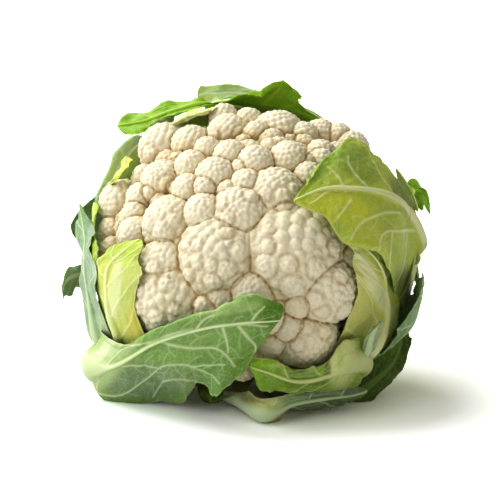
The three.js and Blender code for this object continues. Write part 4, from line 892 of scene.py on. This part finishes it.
class Leaf:
    """A leaf's middle surface as a grid, s across it from edge to edge and t from foot to tip"""

    def __init__(self, name, leaf, seed):
        self.seed = seed
        stations = np.array([[place(*numbers[k:k + 3]) for k in (0, 3, 6)]
                             for place, *numbers in leaf["stations"]])
        cell = FINE_CELL if LOOKS[name]["fine"] else PLAIN_CELL
        sample = np.linspace(0, 1, RIB_SAMPLES)
        left, rib, right = (spline(stations[:, k], sample) for k in range(3))
        run = lengths_along(rib, 0)
        width = np.max(np.linalg.norm(left - rib, axis=1) + np.linalg.norm(right - rib, axis=1))
        rows = max(int(run[-1] / cell), FEWEST_ROWS)
        columns = 2 * max(int(width / cell / 2), FEWEST_COLUMNS) + 1
        share_along = np.interp(np.linspace(0, run[-1], rows), run, sample)
        self.s = np.tile(np.linspace(-1, 1, columns), (rows, 1))
        self.t = np.tile(share_along[:, None], (1, columns))
        tip = TIP_ROUND * self.s ** 2 * smooth_step(self.t, 0.8, 1) * (name != "leaf_top_back")
        t = (self.t - tip).ravel()
        shape = self.s.shape + (3,)
        left, rib, right = (spline(stations[:, k], t).reshape(shape) for k in range(3))
        half = np.linalg.norm(left - right, axis=2) / 2
        foot_half, tip_half, foot_height, tip_height = leaf["rib"]
        share = np.minimum((foot_half + (tip_half - foot_half) * self.t) / half, RIB_SHARE_LIMIT)
        self.free = smooth_step(self.t, FREE_FROM, FREE_ALL)
        side = np.where(self.s > 0, EDGES_APART, 0.0)
        along = self.t * run[-1]
        teeth = TEETH_HEIGHT * (1 + leaf["ragged"]) * waves(TEETH, along, side, seed)
        tear = leaf["ragged"] * np.sin(seed * TEAR_START + self.t * leaf["rows"] * TEAR_STEP)
        wide = self.s * (1 + self.free * (tear + teeth) * np.abs(self.s) / half)
        skew = (right - left) / 2
        bow = (right + left) / 2 - rib
        points = rib + skew * wide[..., None] + bow * (wide ** 2)[..., None]
        offset = points - MIDDLE
        level = np.linalg.norm(dome_units(offset, leaf["lift"]), axis=2)
        points = MIDDLE + offset / np.minimum(level, 1)[..., None]
        self.points = points
        normals = unit(np.cross(np.gradient(points, axis=0), np.gradient(points, axis=1)))
        self.flip = 1 if np.sum(normals * (points - MIDDLE)) > 0 else -1
        self.normals = normals * self.flip
        across = lengths_along(points, 1)
        middle = columns // 2
        self.x = np.tile(np.linspace(0, run[-1], rows)[:, None], (1, columns))
        self.y = across - across[:, [middle]]
        self.margin = np.minimum(np.minimum(across, across[:, [-1]] - across), run[-1] - self.x + 1)
        wave_height, wave_count = leaf["wave"]
        turn = 2 * math.pi * wave_count * self.t + seed + np.where(self.s > 0, OUT_OF_STEP, 0)
        self.wave = wave_height * self.free * self.s ** 2 * np.sin(turn)
        slims = LOOKS[name]["slims"]
        slim = smooth_step(self.t, *slims)
        slim_half = SLIM_RIB[0] + (SLIM_RIB[1] - SLIM_RIB[0]) * smooth_step(self.t, slims[1], 1)
        thick_half = share * half
        rib_half = thick_half + (np.minimum(slim_half, thick_half) - thick_half) * slim
        self.rib_reach = np.abs(self.y) / rib_half
        height = (foot_height + (tip_height - foot_height) * self.t) * (1 - 0.5 * slim)
        self.dome = height * np.maximum(1 - (self.rib_reach / RIB_FADE) ** 2, 0)

    def side_veins(self, count):
        """Side veins on both sides of the rib with a fork each, and cross veins between them"""
        rng = np.random.default_rng(self.seed + 200)
        length = self.x[-1, 0]
        found = []
        for edge in (0, -1):
            width = np.abs(self.y[:, edge])
            sign = -1 if edge == 0 else 1
            previous = None
            for k in range(count):
                step = (k + 0.5 * (edge == 0) + rng.uniform(0, 0.3)) / count
                start = length * (VEINS_FROM + VEINS_SPAN * step)
                reach = np.interp(start, self.x[:, 0], width)
                u = np.linspace(0, 1, 12)
                bend = rng.uniform(*VEIN_BEND)
                x = start + bend * reach * u ** 1.3 + 0.04 * reach * np.sin(u * 7 + k)
                y = sign * np.interp(x, self.x[:, 0], width) * u * 0.97
                path = np.column_stack([x, y])
                if count > YOUNG_VEINS_FROM:
                    found.append((path, YOUNG_VEIN_WIDTHS))
                    continue
                found.append((path, SIDE_VEIN_WIDTHS))
                fork = path[6] + u[:, None] * [FORK[0] * reach, sign * FORK[1] * reach]
                found.append((fork, THIN_VEIN_WIDTHS))
                bow = np.column_stack([u * 0, np.sin(u * math.pi) * sign * CROSS_BOW * reach])
                for a, b in (CROSSINGS if previous is not None else ()):
                    cross = previous[a] + u[:, None] * (path[b] - previous[a]) + bow
                    found.append((cross, THIN_VEIN_WIDTHS))
                previous = path
        return found

    def seen_veins(self, paths):
        """Veins given as seen from the front, brought onto the leaf's flat map, with twigs"""
        across, up = in_view(self.points)
        hidden = (self.normals @ TOWARD) < 0
        rng = np.random.default_rng(self.seed + 300)
        found = []
        for path in paths:
            flat = []
            for a, u in path:
                miss = np.hypot(across - a, up - u) + HIDDEN_PENALTY * hidden
                place = np.unravel_index(np.argmin(miss), miss.shape)
                flat.append((self.x[place], self.y[place]))
            flat = np.array(flat)
            moved = np.append(np.linalg.norm(np.diff(flat, axis=0), axis=1) > 1, True)
            flat = flat[moved]
            if len(flat) < 2:
                continue
            length = lengths_along(flat, 0)[-1]
            flat = spline(flat, np.linspace(0, 1, max(int(length / 1.5), 6)))
            found.append((flat, SEEN_VEIN_WIDTHS))
            side = rng.choice([-1, 1])
            for k in range(2, len(flat) - 1, TWIG_EVERY):
                found.append((self.twig(flat[k], flat[k + 1] - flat[k], side, rng), THIN_VEIN_WIDTHS))
                side = -side
        return found

    def twig(self, start, ahead, side, rng):
        """A short vein that leaves another to one side and bends"""
        length = rng.uniform(*TWIG_LENGTHS)
        heading = math.atan2(ahead[1], ahead[0]) + side * rng.uniform(*TWIG_TURN)
        u = np.linspace(0, 1, 7)
        turn = heading - side * TWIG_BEND * u
        return start + np.column_stack([np.cos(turn), np.sin(turn)]) * (u * length)[:, None]

    def draw(self, veins):
        """How far each point is inside a vein, from 0 to 1, and how thick that vein is there"""
        mask = np.zeros(self.x.shape)
        thick = np.zeros(self.x.shape)
        for path, widths in veins:
            first, last = widths
            strength = THIN_VEIN_STRENGTH if widths == THIN_VEIN_WIDTHS else 1
            count = len(path) - 1
            for k in range(count):
                start, end = path[k], path[k + 1]
                low, high = np.minimum(start, end) - VEIN_REACH, np.maximum(start, end) + VEIN_REACH
                near = (self.x > low[0]) & (self.x < high[0]) & (self.y > low[1]) & (self.y < high[1])
                if not near.any():
                    continue
                run = end - start
                dx, dy = self.x[near] - start[0], self.y[near] - start[1]
                share = np.clip((dx * run[0] + dy * run[1]) / max(run @ run, 1e-9), 0, 1)
                gap = np.hypot(dx - share * run[0], dy - share * run[1])
                width = first + (last - first) * (k + share) / count
                inside = np.exp(-(gap / width) ** 2) * strength
                better = inside * width > mask[near] * thick[near]
                mask[near] = np.where(better, inside, mask[near])
                thick[near] = np.where(better, width, thick[near])
        return mask, thick


def leaf_faces(grid, off_rib, relief):
    """The points of a leaf's inner and outer face"""
    frill = smooth_step(grid.margin, FRILL_FROM_EDGE, 0)
    frill = frill * waves([FRILL], grid.x, grid.y * FRILL_STRETCH, grid.seed)
    middle = grid.wave + grid.free * off_rib * (waves(PUCKERS, grid.x, grid.y, grid.seed) + frill)
    thickness = BLADE_EDGE + (BLADE - BLADE_EDGE) * smooth_step(grid.margin, 0, EDGE_FADE)
    rise = middle + INNER_OFFSET + thickness + grid.dome + relief
    inner = grid.points + grid.normals * (middle + INNER_OFFSET)[..., None]
    outer = grid.points + grid.normals * rise[..., None]
    outer[..., 2] = np.maximum(outer[..., 2], FLOOR_CLEARANCE)
    inner[..., 2] = np.maximum(inner[..., 2], FLOOR_CLEARANCE + thickness)
    return inner, outer


def leaf_colours(grid, looks, patches, mask):
    """The colours of a leaf's inner and outer face"""
    blade, foot, near, rib, tip = (linear(*looks[key]) for key in ("blade", "foot", "near", "rib", "tip"))
    base = np.tile(blade, grid.s.shape + (1,))
    tint = ripple(grid.x, grid.y, 30, grid.seed + 10)
    near_rib = np.exp(-np.abs(grid.y) / (3 + 0.25 * np.abs(grid.y[:, [0, -1]]).mean(axis=1, keepdims=True)))
    base = blend(base, tip, smooth_step(grid.t, 0.7, 1))
    base = blend(base, near, np.clip(near_rib + 0.25 * tint, 0, 1) * 0.8)
    base = blend(base, foot, 1 - smooth_step(grid.t + 0.04 * tint, 0.2, 0.42))
    for share, colour, strength, _ in patches:
        base = blend(base, colour, share * strength)
    fibres = smooth_step(ripple(grid.x * 0.05, grid.y, 3.2, grid.seed + 110), 0.1, 0.8)
    base = blend(base, base * FIBRE_SHADE, fibres * (1 - smooth_step(grid.t, 0.4, 0.55)))
    on_rib = 1 - smooth_step(grid.rib_reach, 0.5, 1)
    pale = np.maximum(on_rib, 0.85 * mask)
    outer = blend(blend(base, rib, pale), rib, looks["margin"] * smooth_step(grid.margin, 1.6, 0.2))
    inner = blend(base, rib, np.maximum(on_rib * 0.9, 0.55 * mask))
    return inner, outer


def leaf_quads(shape, flip):
    """The quads of the inner face, the outer face and the rim between them"""
    number = np.arange(shape[0] * shape[1]).reshape(shape)
    corners = [number[:-1, :-1], number[1:, :-1], number[1:, 1:], number[:-1, 1:]]
    sheet = np.stack(corners, axis=-1).reshape(-1, 4)
    rim = np.concatenate([number[0, :-1], number[:-1, -1], number[-1, :0:-1], number[:0:-1, 0]])
    after = np.roll(rim, -1)
    shift = number.size
    wall = np.column_stack([rim, rim + shift, after + shift, after])
    quads = np.concatenate([sheet[:, ::-1], sheet + shift, wall[:, ::-1]])
    return quads if flip > 0 else quads[:, ::-1]


def build_leaf(name, leaf, seed, material):
    looks = LOOKS[name]
    grid = Leaf(name, leaf, seed)
    if name in VEINS_IN_VIEW:
        veins = grid.seen_veins(VEINS_IN_VIEW[name])
    else:
        veins = grid.side_veins(looks["side"])
    mask, thick = grid.draw(veins)
    off_rib = smooth_step(grid.rib_reach, 0.7, 1.2)
    mask = mask * off_rib
    across, up = in_view(grid.points)
    patches = [(patch_share(across, up, *oval), linear(*colour), share, bulge)
               for *oval, colour, share, bulge in PATCHES_IN_VIEW.get(name, [])]
    relief = mask * thick * VEIN_HEIGHT + sum(share * bulge for share, _, _, bulge in patches)
    faces = leaf_faces(grid, off_rib, relief)
    tones = leaf_colours(grid, looks, patches, mask)
    points, colours = (np.concatenate([part.reshape(-1, 3) for part in pair]) for pair in (faces, tones))
    net = off_rib * (1 - mask) * smooth_step(grid.t, 0.25, 0.45)
    numbers = {key: np.tile(values.ravel(), 2)
               for key, values in (("along", grid.x), ("across", grid.y), ("net", net))}
    piece = add_mesh(name + "_blade", points, leaf_quads(grid.s.shape, grid.flip), colours, numbers)
    keep(piece, name, material)


STALK_ROWS = 110
STALK_SIDES = 120
STALK_GREEN = linear(206, 216, 160)
STALK_CUT = linear(232, 228, 188)
STALK_PITH = linear(240, 236, 206)
STALK_DRY = linear(196, 176, 120)

# The cut face: where it begins, where the pith fades and the dry skin starts on the way out from
# the axis, and the groove between them
CUT_FACE = (STALK_END - 0.8, STALK_END - 0.2)
PITH_RING = (0.5 * STALK_RADIUS, 0.66 * STALK_RADIUS)
DRY_RING = (0.86 * STALK_RADIUS, STALK_RADIUS)
GROOVE_RING = 0.72 * STALK_RADIUS
GROOVE_WIDTH = 1.6
GROOVE_DEPTH = 0.6


def build_stalk(material):
    """The cut stump, turned round the curd's axis, with a slightly uneven bark and a drier cut face"""
    flare = STALK_RADIUS + STALK_FLARE
    profile = np.array([
        (0, STALK_TOP), (flare, STALK_TOP), (flare, STALK_TOP + STALK_FLARE_LENGTH),
        (STALK_RADIUS, STALK_END - STALK_STRAIGHT), (STALK_RADIUS, STALK_END - STALK_CHAMFER),
        (STALK_RADIUS - STALK_CHAMFER, STALK_END), (0, STALK_END)], dtype=float)
    run = lengths_along(profile, 0)
    steps = np.linspace(0, run[-1], STALK_ROWS)
    out, down = (np.interp(steps, run, profile[:, k])[:, None] for k in range(2))
    turn = np.linspace(0, 2 * math.pi, STALK_SIDES, endpoint=False)[None, :]
    x, y = np.cos(turn), np.sin(turn)
    uneven = 0.5 * ripple(x * 20 + down, y * 20, 12, 3) + 0.25 * ripple(x * 20, y * 20 + down * 0.3, 4, 4)
    out = np.maximum(out + uneven * smooth_step(out, 8, 18), 0.02)
    cut = smooth_step(down, *CUT_FACE)
    ring = np.exp(-((out - GROOVE_RING) / GROOVE_WIDTH) ** 2)
    down = down + cut * (0.5 * ripple(x * out, y * out, 9, 5) - GROOVE_DEPTH * ring)
    points = (MIDDLE - CROWN * down[..., None] + SIDE * (x * out)[..., None] + BACK * (y * out)[..., None])
    points[..., 2] = np.maximum(points[..., 2], FLOOR_CLEARANCE)
    colour = blend(np.tile(STALK_GREEN, out.shape + (1,)), STALK_CUT, cut)
    colour = blend(colour, STALK_PITH, cut * (1 - smooth_step(out, *PITH_RING)))
    colour = blend(colour, STALK_DRY, cut * smooth_step(out, *DRY_RING))
    number = np.arange(out.size).reshape(out.shape)
    beside = np.roll(number, -1, axis=1)
    quads = np.stack([number[:-1], beside[:-1], beside[1:], number[1:]], axis=-1).reshape(-1, 4)
    piece = add_mesh("stalk_stump", points.reshape(-1, 3), quads, colour.reshape(-1, 3))
    keep(piece, "stalk", material)


class Graph:
    """The nodes of a material or of the world, with short ways to add to them"""

    def __init__(self, owner):
        owner.use_nodes = True
        self.nodes, self.links = owner.node_tree.nodes, owner.node_tree.links

    def add(self, kind, **settings):
        node = self.nodes.new("ShaderNode" + kind)
        for key, value in settings.items():
            setattr(node, key, value)
        return node

    def feed(self, node, values):
        """Values or other nodes' outputs for a node's inputs, each by its name or number"""
        for key, value in values.items():
            if isinstance(value, bpy.types.NodeSocket):
                self.links.new(value, node.inputs[key])
            else:
                node.inputs[key].default_value = value

    def attribute(self, name, output="Fac"):
        return self.add("Attribute", attribute_name=name).outputs[output]

    def math(self, operation, a, b):
        node = self.add("Math", operation=operation)
        self.feed(node, {0: a, 1: b})
        return node.outputs[0]

    def mix(self, kind, share, a, b):
        node = self.add("Mix", data_type="RGBA", blend_type=kind)
        self.feed(node, {0: share, 6: a, 7: b})
        return node.outputs[2]

    def texture(self, kind, output, scale, place, **settings):
        node = self.add("Tex" + kind, **settings)
        self.feed(node, {"Scale": scale, "Vector": place})
        return node.outputs[output]

    def ramp(self, value, low, high, at_low=0.0, at_high=1.0):
        node = self.add("MapRange")
        ends = {"From Min": low, "From Max": high, "To Min": at_low, "To Max": at_high}
        self.feed(node, {"Value": value, **ends})
        return node.outputs["Result"]

    def bump(self, height, strength, distance, **under):
        """A bump of this many millimetres, on top of the Normal given as under it"""
        node = self.add("Bump")
        self.feed(node, {"Strength": strength, "Distance": distance * MM, "Height": height, **under})
        return node.outputs["Normal"]

    def by_camera(self, otherwise, seen_colour):
        """One colour where the camera looks straight at it, and another for all other light"""
        sight = self.add("LightPath").outputs["Is Camera Ray"]
        return self.mix("MIX", sight, otherwise, seen_colour)


def new_material(name, kind, output):
    """A material with one shader: its graph, its shader and itself"""
    material = bpy.data.materials.new(name)
    graph = Graph(material)
    graph.nodes.clear()
    shader = graph.add(kind)
    graph.links.new(shader.outputs[output], graph.add("OutputMaterial").inputs["Surface"])
    return material, graph, shader


def curd_material():
    material, graph, shader = new_material("curd", "BsdfPrincipled", "BSDF")
    place = graph.add("TexCoord").outputs["Object"]
    speck = graph.texture("Noise", "Fac", 900, place)
    cloud = graph.texture("Noise", "Fac", 60, place)
    beads = graph.texture("Voronoi", "Distance", 700, place)
    # Painted shade in the seams between the beads: darker and browner there
    bead_seam_shade = graph.ramp(beads, 0.35, 0.9, 0.0, 0.2)
    colour = graph.mix("MULTIPLY", bead_seam_shade, graph.attribute("tone", "Color"), (0.82, 0.74, 0.6, 1))
    warm = graph.ramp(cloud, 0.45, 0.75, 0.0, 0.25)
    colour = graph.mix("MULTIPLY", warm, colour, (0.98, 0.93, 0.82, 1))
    normal = graph.bump(graph.ramp(beads, 0.0, 0.8, 1.0, 0.0), 0.3, 0.3)
    graph.feed(shader, {
        "Base Color": colour, "Normal": graph.bump(speck, 0.3, 0.12, Normal=normal),
        "Roughness": 0.62, "Specular IOR Level": 0.3, "Subsurface Weight": 0.35,
        "Subsurface Radius": (1.0, 0.8, 0.5), "Subsurface Scale": 1.4 * MM})
    return material


def leaf_material():
    """One material for all leaves: their colours are on the meshes, and the fine net of veins is here"""
    material, graph, shader = new_material("leaf", "BsdfPrincipled", "BSDF")
    flat = graph.add("CombineXYZ")
    graph.feed(flat, {"X": graph.attribute("along"), "Y": graph.attribute("across")})
    flat = flat.outputs[0]
    place = graph.add("TexCoord").outputs["Object"]
    sway = graph.texture("Noise", "Color", 0.25, flat)
    bent = graph.add("VectorMath", operation="MULTIPLY_ADD")
    graph.feed(bent, {0: sway, 1: (5, 5, 5), 2: flat})
    bent = bent.outputs[0]
    coarse = graph.texture("Voronoi", "Distance", 0.22, bent, feature="DISTANCE_TO_EDGE")
    fine = graph.texture("Voronoi", "Distance", 0.7, bent, feature="DISTANCE_TO_EDGE")
    cloud = graph.texture("Noise", "Fac", 45, place)
    grain = graph.texture("Noise", "Fac", 1500, place)
    fine_line = graph.ramp(fine, 0.0, 0.12, 0.4, 0.0)
    line = graph.math("MAXIMUM", fine_line, graph.ramp(coarse, 0.0, 0.08, 1.0, 0.0))
    line = graph.math("MULTIPLY", line, graph.attribute("net"))
    share = graph.math("MULTIPLY", line, 0.3)
    colour = graph.mix("SCREEN", share, graph.attribute("tone", "Color"), (0.5, 0.55, 0.3, 1))
    patch = graph.ramp(cloud, 0.35, 0.7, 0.0, 0.45)
    colour = graph.mix("MULTIPLY", patch, colour, (0.78, 0.86, 0.7, 1))
    normal = graph.bump(line, 0.3, 0.15)
    graph.feed(shader, {
        "Base Color": colour, "Normal": graph.bump(grain, 0.25, 0.08, Normal=normal),
        "Roughness": graph.ramp(cloud, 0.3, 0.7, 0.42, 0.58), "Specular IOR Level": 0.4,
        "Subsurface Weight": 0.85, "Subsurface Radius": (0.8, 1.0, 0.3), "Subsurface Scale": 1.2 * MM})
    return material


def stalk_material():
    material, graph, shader = new_material("stalk", "BsdfPrincipled", "BSDF")
    place = graph.add("TexCoord").outputs["Object"]
    cloud = graph.texture("Noise", "Fac", 80, place)
    grain = graph.texture("Noise", "Fac", 700, place)
    share = graph.ramp(cloud, 0.4, 0.7, 0.0, 0.4)
    graph.feed(shader, {
        "Base Color": graph.mix("MULTIPLY", share, graph.attribute("tone", "Color"), (0.85, 0.8, 0.6, 1)),
        "Normal": graph.bump(grain, 0.4, 0.2), "Roughness": 0.5, "Subsurface Weight": 0.5,
        "Subsurface Radius": (1.0, 0.9, 0.5), "Subsurface Scale": 2 * MM})
    return material


FLOOR_HALF_WIDTH = 6000

# The floor's tone as it lights the head, and brighter as the camera sees it
FLOOR_TONE = (0.85, 0.85, 0.85, 1)
FLOOR_SEEN = (1.38, 1.385, 1.44, 1)

# The white all round as a light, and as the camera sees it
SURROUND_LIGHT = [0.4 * part for part in (1, 0.96, 0.8, 1)]
FULL_WHITE = (1.05, 1.05, 1.05, 1)

# Even lights from far off: the direction toward each, its strength, its width in degrees, its tint
SUNS = {
    "key": ((-0.54, 0.36, 0.84), 2.62, 50, (1, 1, 1)),
    "fill": ((-0.9, -0.45, 0.62), 1.4, 70, (0.98, 1, 1.1)),
}
GAMMA = 0.78


def build_floor():
    corners = [(-1, -1, 0), (1, -1, 0), (1, 1, 0), (-1, 1, 0)]
    floor = add_mesh("floor", np.array(corners) * FLOOR_HALF_WIDTH, np.array([[0, 1, 2, 3]]))
    material, graph, paper = new_material("white_floor", "BsdfDiffuse", "BSDF")
    graph.feed(paper, {"Color": graph.by_camera(FLOOR_TONE, FLOOR_SEEN)})
    floor.data.materials.append(material)


def build_world():
    world = bpy.data.worlds.new("studio")
    bpy.context.scene.world = world
    graph = Graph(world)
    graph.feed(graph.nodes["Background"], {"Color": graph.by_camera(SURROUND_LIGHT, FULL_WHITE)})


def build_suns():
    for name, (toward, strength, width, tint) in SUNS.items():
        data = bpy.data.lights.new(name, "SUN")
        data.energy = strength
        data.angle = math.radians(width)
        data.color = tint
        light = bpy.data.objects.new(name, data)
        light.rotation_euler = Vector(toward).to_track_quat("Z", "Y").to_euler()
        bpy.context.scene.collection.objects.link(light)


def build_camera():
    data = bpy.data.cameras.new("camera")
    data.sensor_width = SENSOR_WIDTH
    data.sensor_fit = "HORIZONTAL"
    data.lens = SENSOR_WIDTH * VIEW_DISTANCE / (PIXEL * PICTURE_WIDTH)
    data.clip_end = 100
    camera = bpy.data.objects.new("camera", data)
    camera.location = Vector(EYE) * MM
    camera.rotation_euler = (math.pi / 2 - VIEW_LIFT, 0, 0)
    bpy.context.scene.collection.objects.link(camera)
    bpy.context.scene.camera = camera


build_camera()
build_floor()
build_world()
build_suns()
bpy.context.scene.view_settings.view_transform = "Standard"
bpy.context.scene.view_settings.gamma = GAMMA

build_curd(np.random.default_rng(7), curd_material())
build_stalk(stalk_material())
leaf_look = leaf_material()
for number, (name, leaf) in enumerate(LEAVES.items()):
    build_leaf(name, leaf, number, leaf_look)
